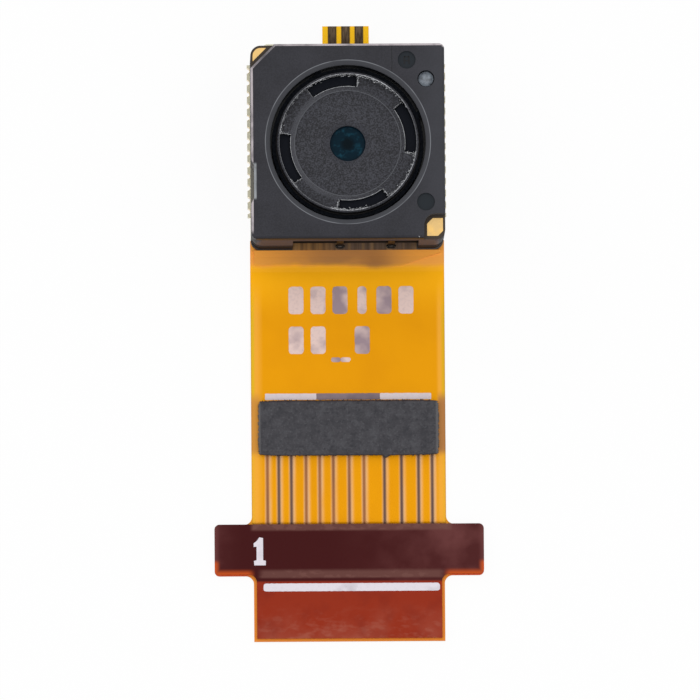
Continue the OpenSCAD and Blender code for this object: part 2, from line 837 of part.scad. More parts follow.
module lens_barrel() {
    lip_r = collar_r - lip_w;
    stop_z = disc_z - dish_d;
    bores = [for (i = [0:3]) each [
        [element_r(i), element_top(i) + (i == 0 ? bond_t : shield_t + 2 * bond_t)],
        [element_r(i), element_top(i) - (i == 3 ? lens_flange_t : element_step - shield_t - 2 * bond_t)]
    ]];
    color("black") difference() {
        rotate_extrude() polygon(concat([
            [element_r(3) + retainer_lap, barrel_z], [barrel_r, barrel_z], [barrel_r, collar_z],
            [collar_r, collar_z], [collar_r, collar_top - lip_w / 2],
            [collar_r - lip_w / 2, collar_top], [lip_r, collar_top], [lip_r, front_z],
            [pocket_r, front_z], [pocket_r - step_d, disc_z], [step_r, disc_z],
            [step_r - step_d, disc_z - step_d / 2], [dish_r, disc_z - step_d / 2],
            [stop_r, stop_z], [stop_r, stop_z - stop_land], [lens_r - 0.2, seat_z]
        ], bores, [[element_r(3) + retainer_lap, element_top(3) - lens_flange_t]]));
        for (i = [0:3]) slab(front_z - pocket_depth, front_z + step_d)
            ring_sector(pocket_r, lip_r, pocket_start + 90 * i - pocket_span / 2,
                pocket_start + 90 * i + pocket_span / 2);
    }
}

// Element i with a curved front and back: bulge above and hollow below its flange
module lens_element(i, front, back, ripple) {
    r = element_r(i) - fit_gap;
    clear_r = r - 0.22;
    top = element_top(i);
    low = top - lens_flange_t;
    steps = 8;
    front_face = [for (k = [0:steps]) let (s = k / steps)
        [clear_r * s, top + front * (1 - s * s)]];
    back_face = [for (k = [steps:-1:0]) let (s = k / steps)
        [clear_r * s, low + back * (1 - s * s) - ripple * s * s * (1 - s * s)]];
    rotate_extrude() polygon(concat(front_face, [[r, top], [r, low]], back_face));
}

module lens_1() {
    color("darkcyan") lens_element(0, 0.1, 0.06, 0);
}

module lens_2() {
    color("lightblue") lens_element(1, -0.1, 0.1, 0);
}

module lens_3() {
    color("lightblue") lens_element(2, -0.12, 0.02, 0);
}

module lens_4() {
    color("lightblue") lens_element(3, -0.08, 0.12, 0.06);
}

module light_shields() {
    color("black") for (i = [1:3]) translate([0, 0, element_top(i) + bond_t]) difference() {
        cylinder(h = shield_t, r = element_r(i) - fit_gap);
        translate([0, 0, -over]) cylinder(h = shield_t + 2 * over, r = element_r(i - 1) - 0.35);
    }
}

module retainer_ring() {
    top = element_top(3) - lens_flange_t - bond_t;
    color("black") translate([0, 0, top - retainer_h]) difference() {
        cylinder(h = retainer_h, r = element_r(3) + retainer_lap - fit_gap);
        translate([0, 0, -over]) cylinder(h = retainer_h + 2 * over, r = element_r(3) - retainer_lap);
    }
}

back_stiffener();
flex_film();
copper_traces();
coverlay();
tab_contacts();
contact_fingers();
tail_stiffener();
foam_pad();
edge_glue();
sensor_board();
board_edge_pads();
image_sensor();
bond_wires();
board_capacitors();
driver_chip();
filter_holder();
ir_filter();
actuator_base();
actuator_terminals();
lower_spring();
actuator_frame();
yoke();
magnets();
upper_spring();
corner_contacts();
cover();
cover_post();
lens_carrier();
coil();
lens_barrel();
lens_1();
lens_2();
lens_3();
lens_4();
light_shields();
retainer_ring();
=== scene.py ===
import math
import random
from itertools import accumulate

import bpy
from bpy.props import FloatProperty, FloatVectorProperty, IntProperty, PointerProperty
from mathutils import Matrix, Vector, noise


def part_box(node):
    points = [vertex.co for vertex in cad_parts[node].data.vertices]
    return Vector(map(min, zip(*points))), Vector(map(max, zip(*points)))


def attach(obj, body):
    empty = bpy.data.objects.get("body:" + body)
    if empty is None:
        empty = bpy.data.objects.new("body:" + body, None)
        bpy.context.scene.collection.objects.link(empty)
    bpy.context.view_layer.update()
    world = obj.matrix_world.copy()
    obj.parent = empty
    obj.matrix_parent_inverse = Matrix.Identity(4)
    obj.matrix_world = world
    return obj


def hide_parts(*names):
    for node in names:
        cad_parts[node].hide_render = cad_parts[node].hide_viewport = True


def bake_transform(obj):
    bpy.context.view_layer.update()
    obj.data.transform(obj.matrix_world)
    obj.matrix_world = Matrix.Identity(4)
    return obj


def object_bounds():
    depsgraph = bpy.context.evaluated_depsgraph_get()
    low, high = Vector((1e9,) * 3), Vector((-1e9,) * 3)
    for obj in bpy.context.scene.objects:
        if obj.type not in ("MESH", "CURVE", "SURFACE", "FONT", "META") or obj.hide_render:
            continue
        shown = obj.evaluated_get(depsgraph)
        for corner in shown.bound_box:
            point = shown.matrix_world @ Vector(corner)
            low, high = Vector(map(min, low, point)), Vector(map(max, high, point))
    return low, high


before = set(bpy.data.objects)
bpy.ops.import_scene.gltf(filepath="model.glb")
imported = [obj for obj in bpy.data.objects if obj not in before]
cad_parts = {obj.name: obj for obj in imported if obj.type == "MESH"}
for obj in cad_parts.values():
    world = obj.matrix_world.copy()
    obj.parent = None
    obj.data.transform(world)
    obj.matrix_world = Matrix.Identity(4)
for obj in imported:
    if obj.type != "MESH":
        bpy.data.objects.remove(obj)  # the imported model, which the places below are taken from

bl_info = {
    "name": "Camera Module Dresser",
    "version": (1, 0, 0),
    "blender": (4, 5, 0),
    "location": "View3D > Sidebar > Module",
    "description": "Finishes an autofocus camera module on a flexible circuit",
    "category": "Object",
}

# ---- Places that come from the frame, in metres ------------------------------

MM = 0.001
CAD_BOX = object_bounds()
COVER_LOW, COVER_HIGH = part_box("cover")
FRAME_LOW, FRAME_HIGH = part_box("actuator_frame")
TAIL_LOW, TAIL_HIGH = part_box("tail_stiffener")
FOAM_LOW, FOAM_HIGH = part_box("foam_pad")
PIN_LOW, PIN_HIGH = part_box("actuator_terminals")
TAB_LOW, TAB_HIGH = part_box("tab_contacts")
POST_LOW, POST_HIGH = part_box("cover_post")
BARREL_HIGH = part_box("lens_barrel")[1]
TRACE_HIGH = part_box("copper_traces")[1]
BOARD_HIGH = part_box("sensor_board")[1]
SPRING_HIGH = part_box("upper_spring")[1]
GLUE_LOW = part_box("edge_glue")[0]

COLLAR_R = BARREL_HIGH.x                 # the barrel is centred on the optical axis
FLEX_TOP = TAIL_LOW.z - 0.005 * MM       # upper face of the cover film beyond the bend
EAR_START = TAIL_HIGH.y                  # the tail's stiffener begins with its two ears
EAR_END = EAR_START - 2.27 * MM          # the narrower tongue goes on from here
BEND_END = FRAME_LOW.y - 0.75 * MM       # the circuit lies flat from here to its tail
RELIEF_Y = FRAME_LOW.y + 2.54 * MM       # middle of the relief in the left side
BACK_MARK = (COVER_HIGH.x - 1.65 * MM, COVER_HIGH.y - 0.74 * MM)
FRONT_MARK = (COVER_HIGH.x - 0.85 * MM, COVER_LOW.y + 1.59 * MM)
TAB_PITCH = (TAB_HIGH.x - TAB_LOW.x) / 2 - 0.125 * MM  # between the tab's three contacts

# What the mesh of the film's face carries at each corner, for its material
FILM_FACTS = ("gap", "slope", "cool", "margin", "outside")

# ---- Leaf springs, with the sizes of the part's source -----------------------

SPRING_RING = (3.16 * MM, 3.32 * MM)     # inner and outer radius of the carrier's ring
SPRING_ARM = (3.42 * MM, 3.5 * MM)       # inner and outer radius of the arms
SPRING_HOLE = 3.72 * MM                  # radius of the frame's opening
SPRING_HALF = SPRING_HIGH.x              # half the frame's side
SPRING_CHAMFER = 1.3 * MM                # cut off each of the frame's corners
ARM_STARTS = (20, 110, 200, 290)         # angle where each arm leaves the ring
ARM_SPAN = 62                            # angle from there to its joint with the frame
ARM_TAB = 4                              # angle of the tab at each end of an arm
ARM_OVERLAP = 0.02 * MM                  # how far a tab lies over the ring or the frame
ARM_ETCH = 0.002 * MM                    # the arms are thinned by this on both faces
POST_CENTRE = (POST_LOW + POST_HIGH) / 2
POST_HOLE = 0.41 * MM                    # radius of the frame's notch round the post


def linear(code):
    """Linear colour of an sRGB hex value."""
    shares = [int(code[i:i + 2], 16) / 255 for i in (0, 2, 4)]
    return tuple(s / 12.92 if s <= 0.04045 else ((s + 0.055) / 1.055) ** 2.4 for s in shares)


def length(name, description, value_mm):
    """A length property whose default is given in millimetres."""
    return FloatProperty(name=name, description=description, default=value_mm * MM,
                         min=0.0, precision=6, unit="LENGTH")


def colour(name, description, code):
    """A colour property whose default is an sRGB hex value."""
    return FloatVectorProperty(name=name, description=description, default=linear(code),
                               size=3, min=0.0, max=1.0, subtype="COLOR")


class BodyLook(bpy.types.PropertyGroup):
    """Colours and edges of the module body."""
    cover_colour: colour("Cover", "Black plastic of the cover", "2A2A2F")
    cover_pale: colour("Cover clouds", "Paler clouds in the cover's plastic", "34343A")
    # Painted highlight along the cover's edges, drawn as pale plastic.
    edge_highlight_colour: colour("Rubbed edge", "Plastic rubbed pale along the cover's edges", "BDB4B8")
    housing_colour: colour("Housing", "Black plastic of the frame, base and holder", "151314")
    gold_colour: colour("Gold plate", "Gold-plated corner plates", "B09361")
    edge_round: length("Edge rounding", "Radius of the moulded edges", 0.03)
    bevel_r: length("Opening", "Outer radius of the bevel round the opening", 3.62)
    mark_r: length("Ejector marks", "Radius of the two round ejector marks", 0.39)


class BarrelLook(bpy.types.PropertyGroup):
    """Colours and torn edges of the lens barrel."""
    face_colour: colour("Face", "Fine-grained black of the barrel's front", "1E1E22")
    face_pale: colour("Face grain", "Paler grains of the barrel's front", "404148")
    # The flash's white is partly whitened plastic and partly a painted highlight on its edges.
    flash_colour: colour("Flash", "Torn plastic along the lip and the pockets", "E2E4E8")
    glass_colour: colour("Glass", "Coated front element", "08202C")
    lip_w: length("Lip", "Width of the collar's standing lip", 0.11)
    front_drop: length("Front depth", "Depth of the front face below the collar", 0.42)
    pocket_w: length("Pocket width", "Radial width of the wrench pockets", 0.49)
    flash_t: length("Flash thickness", "Half thickness of the flash along the lip", 0.012)


class FilmLook(bpy.types.PropertyGroup):
    """Colours and relief of the circuit's upper face."""
    film_colour: colour("Film", "Amber film over copper", "E69A06")
    margin_left: colour("Left margin", "Bare film along the left edge", "DFB024")
    margin_right: colour("Right margin", "Bare film along the right edge", "DDAA22")
    # The slopes' two colours are a painted highlight, wider on each conductor's left side.
    slope_highlight_colour: colour("Conductor rims", "Film that slopes off each conductor", "F2AC50")
    slope_foot_highlight: colour("Rim feet", "Thin film at the foot of each slope", "DFB080")
    # The gap lines are drawn darker: warm brown, and grey-purple in the listed gaps.
    gap_warm: colour("Warm gaps", "Film pressed down between the conductors", "A0683F")
    gap_cool: colour("Cool gaps", "Film that has lifted off between the conductors", "6B5146")
    ridge_h: length("Ridge", "How far the film stands up over the copper", 0.01)


class PrintLook(bpy.types.PropertyGroup):
    """Colours and thickness of the printed marks."""
    ink_colour: colour("Ink", "Pale ink on the film", "EBD0C8")
    ink_shade: colour("Thin ink", "Ink that lets the copper's tone through", "98848F")
    white_colour: colour("White ink", "White ink on the tail", "E6E0E8")
    ink_t: length("Ink thickness", "Thickness of the printed ink", 0.012)


class FoamLook(bpy.types.PropertyGroup):
    """Colour and nap of the foam pad."""
    foam_colour: colour("Foam", "Grey face of the foam pad", "4A494D")
    foam_dark: colour("Foam pores", "Dark pores of the foam", "3E3E42")
    foam_pale: colour("Foam nap", "Paler nap of the foam", "57575B")
    nap: length("Nap", "Length of the loose fibres", 0.14)
    fibres: IntProperty(name="Fibres", description="Loose fibres along the edges", default=640,
                        min=0)


class TailLook(bpy.types.PropertyGroup):
    """Colours of the plug-in tail."""
    ear_colour: colour("Ears", "Dark stiffener over the ears", "421314")
    haze_colour: colour("Haze", "Dull haze over the ears", "6B3B3A")
    band_colour: colour("Bands", "Paler bands where layers end", "704943")
    tongue_colour: colour("Tongue", "Red-brown stiffener of the tongue", "96301A")
    bloom_colour: colour("Bloom", "Paler bloom near the tongue's end", "A2503F")
    glow_colour: colour("Edge glow", "Thin film that glows along the edges", "C8531D")


class StageLook(bpy.types.PropertyGroup):
    """Camera, light and floor."""
    tilt_down: FloatProperty(name="Lean toward the tail", description="Camera's lean from upright",
                             default=math.radians(6.5), subtype="ANGLE")
    tilt_left: FloatProperty(name="Lean to the left", description="Camera's lean from upright",
                             default=math.radians(0.9), subtype="ANGLE")
    roll: FloatProperty(name="Roll", description="Turn about the line of sight",
                        default=math.radians(-0.42), subtype="ANGLE")
    distance: length("Distance", "From the camera to the object", 700.0)
    focal: FloatProperty(name="Focal length", description="Focal length in millimetres",
                         default=817.0, unit="CAMERA")
    aim_x: FloatProperty(name="Aim across", description="Point aimed at, across", unit="LENGTH",
                         default=0.1 * MM, precision=6)
    aim_y: FloatProperty(name="Aim along", description="Point aimed at, along", unit="LENGTH",
                         default=-8.625 * MM, precision=6)
    world_light: FloatProperty(name="Room light", description="Even light from all round",
                               default=0.67, min=0.0, subtype="FACTOR")
    key_watts: FloatProperty(name="Key", description="Broad soft light overhead",
                             default=1.35, unit="POWER")
    rim_watts: FloatProperty(name="Rim", description="Soft strip light at the back left",
                             default=0.15, unit="POWER")


LOOKS = {
    "module_body": BodyLook, "module_barrel": BarrelLook, "module_film": FilmLook,
    "module_print": PrintLook, "module_foam": FoamLook, "module_tail": TailLook,
    "module_stage": StageLook,
}

# ---- Nodes: patterns, masks and layers ---------------------------------------


def tone(value):
    """A shader's colour, from a hex value or a colour property. A socket stays one."""
    if isinstance(value, bpy.types.NodeSocket):
        return value
    return tuple(linear(value) if isinstance(value, str) else value)[:3] + (1.0,)


def add_node(tree, kind, inputs=None, settings=None):
    """Adds a node. Each input is a value, or the socket that feeds it."""
    node = tree.nodes.new(kind)
    for name, value in (settings or {}).items():
        setattr(node, name, value)
    for name, value in (inputs or {}).items():
        if isinstance(value, bpy.types.NodeSocket):
            tree.links.new(value, node.inputs[name])
        else:
            node.inputs[name].default_value = value
    return node


def open_material(name):
    """A new, empty material and its node tree."""
    material = bpy.data.materials.new(name)
    material.use_nodes = True
    material.node_tree.nodes.clear()
    return material, material.node_tree


def close_material(material, inputs, relief=None):
    """Gives a material its Principled shader, with these inputs, and returns it.

    Relief, where given, is a pattern that stands up from the surface, its height in
    millimetres, and how strongly it shows.
    """
    tree = material.node_tree
    if relief:
        pattern, height_mm, strength = relief
        bump = add_node(tree, "ShaderNodeBump",
                        {"Height": pattern, "Distance": height_mm * MM, "Strength": strength})
        inputs = inputs | {"Normal": bump.outputs[0]}
    shader = add_node(tree, "ShaderNodeBsdfPrincipled", inputs)
    add_node(tree, "ShaderNodeOutputMaterial", {"Surface": shader.outputs[0]})
    return material


def spots(tree, size_mm, detail=2.0, stretch=(1, 1, 1), shift=0.0):
    """Noise whose spots are about size_mm across, times stretch along each axis."""
    where = add_node(tree, "ShaderNodeTexCoord").outputs["Object"]
    scale = [1 / (size_mm * MM * s) for s in stretch]
    placed = add_node(tree, "ShaderNodeMapping",
                      {"Vector": where, "Scale": scale, "Location": (shift, shift, shift)})
    noise_node = add_node(tree, "ShaderNodeTexNoise",
                          {"Vector": placed.outputs[0], "Scale": 1.0, "Detail": detail})
    return noise_node.outputs[0]


def waves(tree, axis, pitch_mm, distortion=0.0):
    """Even waves along X, Y or Z, each pitch_mm long."""
    where = add_node(tree, "ShaderNodeTexCoord").outputs["Object"]
    # At a scale of 1, the texture's waves are 2 pi / 20 of a metre long.
    scale = 2 * math.pi / 20 / (pitch_mm * MM)
    return add_node(tree, "ShaderNodeTexWave",
                    {"Vector": where, "Scale": scale, "Distortion": distortion},
                    {"bands_direction": axis}).outputs["Fac"]


def spread(tree, pattern, low, high):
    """Stretches the part of a pattern between low and high to the whole of 0 to 1."""
    return add_node(tree, "ShaderNodeMapRange",
                    {"Value": pattern, "From Min": low, "From Max": high}).outputs[0]


def rise(tree, value, start, end):
    """Mask that goes smoothly from 0, where a value is start, to 1, where it is end."""
    rising = end > start
    return add_node(
        tree, "ShaderNodeMapRange",
        {"Value": value, "From Min": min(start, end), "From Max": max(start, end),
         "To Min": 0.0 if rising else 1.0, "To Max": 1.0 if rising else 0.0},
        {"interpolation_type": "SMOOTHSTEP"}).outputs[0]


def measure(tree, axis, what="Object"):
    """How far each place lies along X, Y or Z, in metres, or its face's normal does."""
    where = add_node(tree, "ShaderNodeTexCoord").outputs[what]
    return add_node(tree, "ShaderNodeSeparateXYZ", {0: where}).outputs["XYZ".index(axis)]


def along(tree, axis, start, end):
    """Mask that goes from 0 at start to 1 at end along X, Y or Z, in metres."""
    return rise(tree, measure(tree, axis), start, end)


def upturned(tree, start, end):
    """Mask by how a face is turned: its normal's share of straight up, from start to end."""
    return rise(tree, measure(tree, "Z", "Normal"), start, end)


def strip(tree, axis, middle, half, fade):
    """Mask of a strip across an axis: half wide each side of its middle, then a fade."""
    return combine(tree, "MULTIPLY",
                   along(tree, axis, middle - half - fade, middle - half),
                   along(tree, axis, middle + half + fade, middle + half))


def both_sides(tree, start, end):
    """Mask that goes from 0 to 1 between two distances to the left and to the right."""
    return combine(tree, "MAXIMUM", along(tree, "X", -start, -end), along(tree, "X", start, end))


def around(tree, start, end, centre=(0, 0)):
    """Mask that goes from 0 to 1 between two distances from an upright axis, in metres."""
    where = add_node(tree, "ShaderNodeTexCoord").outputs["Object"]
    flat = add_node(tree, "ShaderNodeVectorMath", {0: where, 1: (1, 1, 0)},
                    {"operation": "MULTIPLY"}).outputs[0]
    away = add_node(tree, "ShaderNodeVectorMath", {0: flat, 1: tuple(centre) + (0,)},
                    {"operation": "DISTANCE"}).outputs["Value"]
    return rise(tree, away, start, end)


def ring(tree, radius, width):
    """Mask of a soft ring about the optical axis, which fades over width on each side."""
    return combine(tree, "SUBTRACT", around(tree, radius - width, radius),
                   around(tree, radius, radius + width))


def combine(tree, operation, *masks):
    """Joins masks by a sum, product, maximum and so on."""
    joined = masks[0]
    for mask in masks[1:]:
        joined = add_node(tree, "ShaderNodeMath", {0: joined, 1: mask},
                          {"operation": operation, "use_clamp": True}).outputs[0]
    return joined


def lay(tree, under, *layers):
    """Lays colours over a first one, each through its own mask."""
    under = tone(under)
    for over, mask in layers:
        under = add_node(tree, "ShaderNodeMix", {0: mask, 6: under, 7: tone(over)},
                         {"data_type": "RGBA"}).outputs[2]
    return under


def seen_by_eye(tree):
    """1 where the camera sees a thing, straight or in a gloss or through glass."""
    rays = add_node(tree, "ShaderNodeLightPath").outputs
    return combine(tree, "MAXIMUM", rays["Is Camera Ray"], rays["Is Glossy Ray"],
                   rays["Is Transmission Ray"])


# ---- Materials ---------------------------------------------------------------


def glued_bend(tree, under):
    """Browns a tone where epoxy lies on the bend, up to a wandering line in the film.

    The eye sees amber-brown at the body, brownest at the thick middle, that thins out
    into the film without a hard edge; the film near the body is drawn paler, as painted light.
    """
    # The line wanders all the way across, and sags a little right of the middle.
    wander = spots(tree, 1.4, 2.0, (1, 400, 400), shift=11.0)
    sag = combine(tree, "MULTIPLY", along(tree, "X", -0.4 * MM, 1.3 * MM),
                  along(tree, "X", 3.2 * MM, 1.5 * MM))
    line = measure(tree, "Y")
    for mask, reach in ((wander, 0.35 * MM), (sag, 0.11 * MM)):
        line = add_node(tree, "ShaderNodeMath", {0: mask, 1: reach, 2: line},
                        {"operation": "MULTIPLY_ADD"}).outputs[0]
    start = BEND_END + 0.14 * MM
    fade = 0.32 * MM
    covered = rise(tree, line, start, start + fade)
    # The glue is browner in the middle, in lumps, and brownest in a pool.
    inner = combine(tree, "MULTIPLY", along(tree, "X", -4.2 * MM, -0.4 * MM),
                    along(tree, "X", 3.3 * MM, 1.0 * MM))
    lumps = spread(tree, spots(tree, 1.1, 3.0, (2, 0.6, 1)), 0.2, 0.75)
    brown = combine(tree, "MULTIPLY", inner, combine(tree, "ADD", lumps, 0.5))
    pool_place = (1.25 * MM, GLUE_LOW.y + 0.05 * MM)
    pool = combine(tree, "MULTIPLY", around(tree, 0.95 * MM, 0.1 * MM, pool_place), 0.5)
    # Painted light: the film is drawn paler toward the body, against the shade the body casts.
    thin = along(tree, "Y", BEND_END - 2.6 * MM, BEND_END + 0.1 * MM)
    glue = lay(tree, "F0A243", ("B47C44", brown), ("A36C38", pool))
    return lay(tree, under, ("FFB412", thin), (glue, covered))


def matt_black(name, dark, pale, grit_mm=0.06, roughness=0.5, gloss=0.15, details=None):
    """Black plastic from a spark-eroded mould, or matted film: clouds under a fine grit.

    The eye sees an even, dry black, cloudy at a millimetre, with a sandy sheen. The
    grit is drawn coarser than it is, so that it shows. Details, where given, lays
    more colours over the plain one.
    """
    material, tree = open_material(name)
    clouds = spots(tree, 1.3, 3.0)
    grit = spots(tree, grit_mm, 2.0)
    both = combine(tree, "ADD", combine(tree, "MULTIPLY", clouds, 0.5),
                   combine(tree, "MULTIPLY", grit, 0.5))
    base = lay(tree, dark, (pale, spread(tree, both, 0.38, 0.62)))
    if details:
        base = details(tree, base)
    return close_material(material, {
        "Base Color": base, "Roughness": roughness, "Specular IOR Level": gloss},
        relief=(grit, 0.004, 0.6))


def cover_marks_and_painted_light(look):
    """What lies over the cover's plain black.

    The eye sees edges made pale at the back and on the left by a painted highlight, a
    fine bright line and a paler bevel round the opening, both painted highlights, the
    right paler by painted light, the front face darker by painted shade, and two ejector
    marks with dark floors.
    """
    cut_corner = (COVER_LOW.x, COVER_HIGH.y)
    line_w = 0.03 * MM

    def details(tree, base):
        high = along(tree, "Z", COVER_HIGH.z - 0.14 * MM, COVER_HIGH.z - 0.08 * MM)
        highlight_patches = spread(tree, spots(tree, 0.5, 3.0, shift=3.0), 0.0, 0.55)
        # Painted highlight on the edges: the left, the back and the cut corner,
        # less at the cut's ends.
        left = combine(tree, "MULTIPLY",
                       along(tree, "X", COVER_LOW.x + 0.34 * MM, COVER_LOW.x + 0.26 * MM),
                       along(tree, "Y", COVER_LOW.y + 0.15 * MM, COVER_LOW.y + 0.5 * MM))
        back = along(tree, "Y", COVER_HIGH.y - 0.2 * MM, COVER_HIGH.y - 0.12 * MM)
        round_cut = around(tree, 1.3 * MM, 1.2 * MM, cut_corner)
        inside_cut = around(tree, 1.12 * MM, 0.98 * MM, cut_corner)
        near_cut = combine(tree, "SUBTRACT", 1.0, combine(tree, "MULTIPLY", inside_cut, 0.6))
        rubbed = combine(tree, "MULTIPLY", combine(tree, "MAXIMUM", left, back, round_cut),
                         upturned(tree, 0.96, 0.8), high, highlight_patches, near_cut)
        # Painted highlights: the bright line and the paler bevel round the opening.
        glint = spread(tree, spots(tree, 0.8, 2.0, shift=6.0), 0.2, 0.7)
        line = combine(tree, "MULTIPLY", ring(tree, look.bevel_r, line_w),
                       combine(tree, "ADD", glint, 0.25), 0.75)
        bevel = around(tree, look.bevel_r, look.bevel_r - line_w)
        # The sunk floors of the ejector marks.
        marks = combine(tree, "MAXIMUM", *(
            around(tree, look.mark_r + line_w, look.mark_r, place)
            for place in (BACK_MARK, FRONT_MARK)))
        sunk = along(tree, "Z", COVER_HIGH.z - 0.02 * MM, COVER_HIGH.z - 0.05 * MM)
        floors = combine(tree, "MULTIPLY", marks, sunk)
        # Painted highlight along the edge of the relief in the left side.
        relief = combine(tree, "MULTIPLY", highlight_patches, high,
                         along(tree, "X", COVER_LOW.x + 0.26 * MM, COVER_LOW.x + 0.2 * MM),
                         strip(tree, "Y", RELIEF_Y, 0.7 * MM, 0.15 * MM))
        # Painted shade on the front face, below its top edge.
        front = combine(tree, "MULTIPLY",
                        along(tree, "Y", COVER_LOW.y + 0.06 * MM, COVER_LOW.y + 0.03 * MM),
                        along(tree, "Z", COVER_HIGH.z - 0.04 * MM, COVER_HIGH.z - 0.1 * MM))
        # Painted light: the cover is drawn paler toward the right.
        right = combine(tree, "MULTIPLY", along(tree, "X", 2.4 * MM, 4.0 * MM), 0.45)
        return lay(tree, base, ("414248", right), ("18171A", front), ("434449", bevel),
                   ("8D9096", line), ("1D2329", floors), ("A0A4A8", relief),
                   (look.edge_highlight_colour, rubbed))

    return details


def housing_dust_and_painted_light(front_painted_light):
    """What lies over the plain black of the frame and the parts under it.

    The eye sees grey dust in the relief on the left side, a front wall drawn as pale as
    given by painted light, and a brown-grey lip round each plated corner.
    """
    corners = ((FRAME_LOW.x, FRAME_HIGH.y), (FRAME_HIGH.x, FRAME_LOW.y))

    def details(tree, base):
        dusty = combine(tree, "MAXIMUM", upturned(tree, 0.3, 0.7), 0.15)
        relief = combine(tree, "MULTIPLY", dusty,
                         along(tree, "X", FRAME_LOW.x + 0.2 * MM, FRAME_LOW.x + 0.17 * MM),
                         strip(tree, "Y", RELIEF_Y, 0.9 * MM, 0.1 * MM))
        # Painted light: the front wall is drawn in the paler colour given.
        front = along(tree, "Y", FRAME_LOW.y + 0.06 * MM, FRAME_LOW.y + 0.03 * MM)
        near_plates = combine(tree, "MAXIMUM", *(
            around(tree, 1.7 * MM, 1.6 * MM, place) for place in corners))
        lips = combine(tree, "MULTIPLY", near_plates,
                       along(tree, "Z", FRAME_HIGH.z - 0.05 * MM, FRAME_HIGH.z - 0.03 * MM))
        return lay(tree, base, (front_painted_light, front), ("4A423B", lips), ("8A877E", relief))

    return details


def grained_barrel(look):
    """Black polycarbonate from a blasted mould: dull, with single pale grains.

    The eye sees a charcoal face with a fine salt of lighter points.
    """
    material, tree = open_material("black_polycarbonate_blasted")
    grain = spots(tree, 0.055, 2.0)
    clouds = spots(tree, 0.9, 2.0)
    both = combine(tree, "ADD", combine(tree, "MULTIPLY", grain, 0.88),
                   combine(tree, "MULTIPLY", clouds, 0.12))
    halo = combine(tree, "SUBTRACT", around(tree, 0.7 * MM, 0.8 * MM),
                   around(tree, 0.9 * MM, 1.1 * MM))
    # Painted shade darkens the pockets; painted highlights draw a pale step and shelf
    # in the face inside them, the shelf stronger on the left.
    face_z = BARREL_HIGH.z - look.front_drop
    pocket_r = COLLAR_R - look.lip_w - look.pocket_w
    pockets = combine(tree, "MULTIPLY",
                      along(tree, "Z", face_z - 0.05 * MM, face_z - 0.1 * MM),
                      around(tree, pocket_r - 0.14 * MM, pocket_r - 0.08 * MM))
    step = combine(tree, "MULTIPLY", ring(tree, pocket_r - 0.19 * MM, 0.03 * MM), 0.8)
    shelf_highlight = combine(tree, "MULTIPLY", around(tree, pocket_r - 0.22 * MM, pocket_r - 0.18 * MM),
                    around(tree, pocket_r + 0.05 * MM, pocket_r),
                    along(tree, "X", 2.2 * MM, -2.6 * MM), 0.5)
    # Painted shade on the collar's outer edge.
    rim = around(tree, COLLAR_R - 0.03 * MM, COLLAR_R - 0.01 * MM)
    base = lay(tree, look.face_colour, (look.face_pale, spread(tree, both, 0.42, 0.6)),
               (look.face_pale, combine(tree, "MULTIPLY", halo, 0.25)), ("55565C", shelf_highlight),
               ("5C5E63", step), ("14171F", pockets), ("0C0C0E", rim))
    gloss = combine(tree, "SUBTRACT", 0.2, combine(tree, "MULTIPLY", pockets, 0.14))
    return close_material(material, {
        "Base Color": base, "Roughness": 0.55, "Specular IOR Level": gloss},
        relief=(grain, 0.008, 0.8))


def streaked_metal(name, base, dark, roughness, lines=(1, 1, 1), line_mm=0.1, depth_mm=0.002,
                   darkening=None):
    """Metal with the lines that rolling, drawing, grinding or flowing has left in it.

    The eye sees a soft streaked reflection, in the metal's own colour. Lines gives how
    long the streaks are along each axis, times their width. The last argument, where
    given, is the two places in Y between which the metal is drawn darker.
    """
    material, tree = open_material(name)
    streaks = spots(tree, line_mm, 3.0, lines)
    stains = spread(tree, spots(tree, 1.5, 2.0), 0.45, 0.8)
    metal = lay(tree, base, (dark, spread(tree, streaks, 0.45, 0.75)),
                (dark, combine(tree, "MULTIPLY", stains, 0.4)))
    if darkening:
        metal = lay(tree, metal, (dark, along(tree, "Y", *darkening)))
    rough = add_node(tree, "ShaderNodeMapRange", {
        "Value": streaks, "To Min": roughness * 0.8, "To Max": roughness * 1.3}).outputs[0]
    return close_material(material, {
        "Base Color": metal, "Metallic": 1.0, "Roughness": rough},
        relief=(streaks, depth_mm, 0.5))


def plated_gold(name, base, warm):
    """Gold plated over nickel, from a bath: pale and silky, with warmer patches.

    The eye sees a dimpled satin shine, since the plate follows the ground metal below.
    """
    material, tree = open_material(name)
    patches = spots(tree, 0.35, 3.0)
    dimples = spots(tree, 0.05, 2.0)
    gold = lay(tree, base, (warm, spread(tree, patches, 0.4, 0.65)))
    return close_material(material, {
        "Base Color": gold, "Metallic": 1.0, "Roughness": 0.32}, relief=(dimples, 0.003, 0.6))


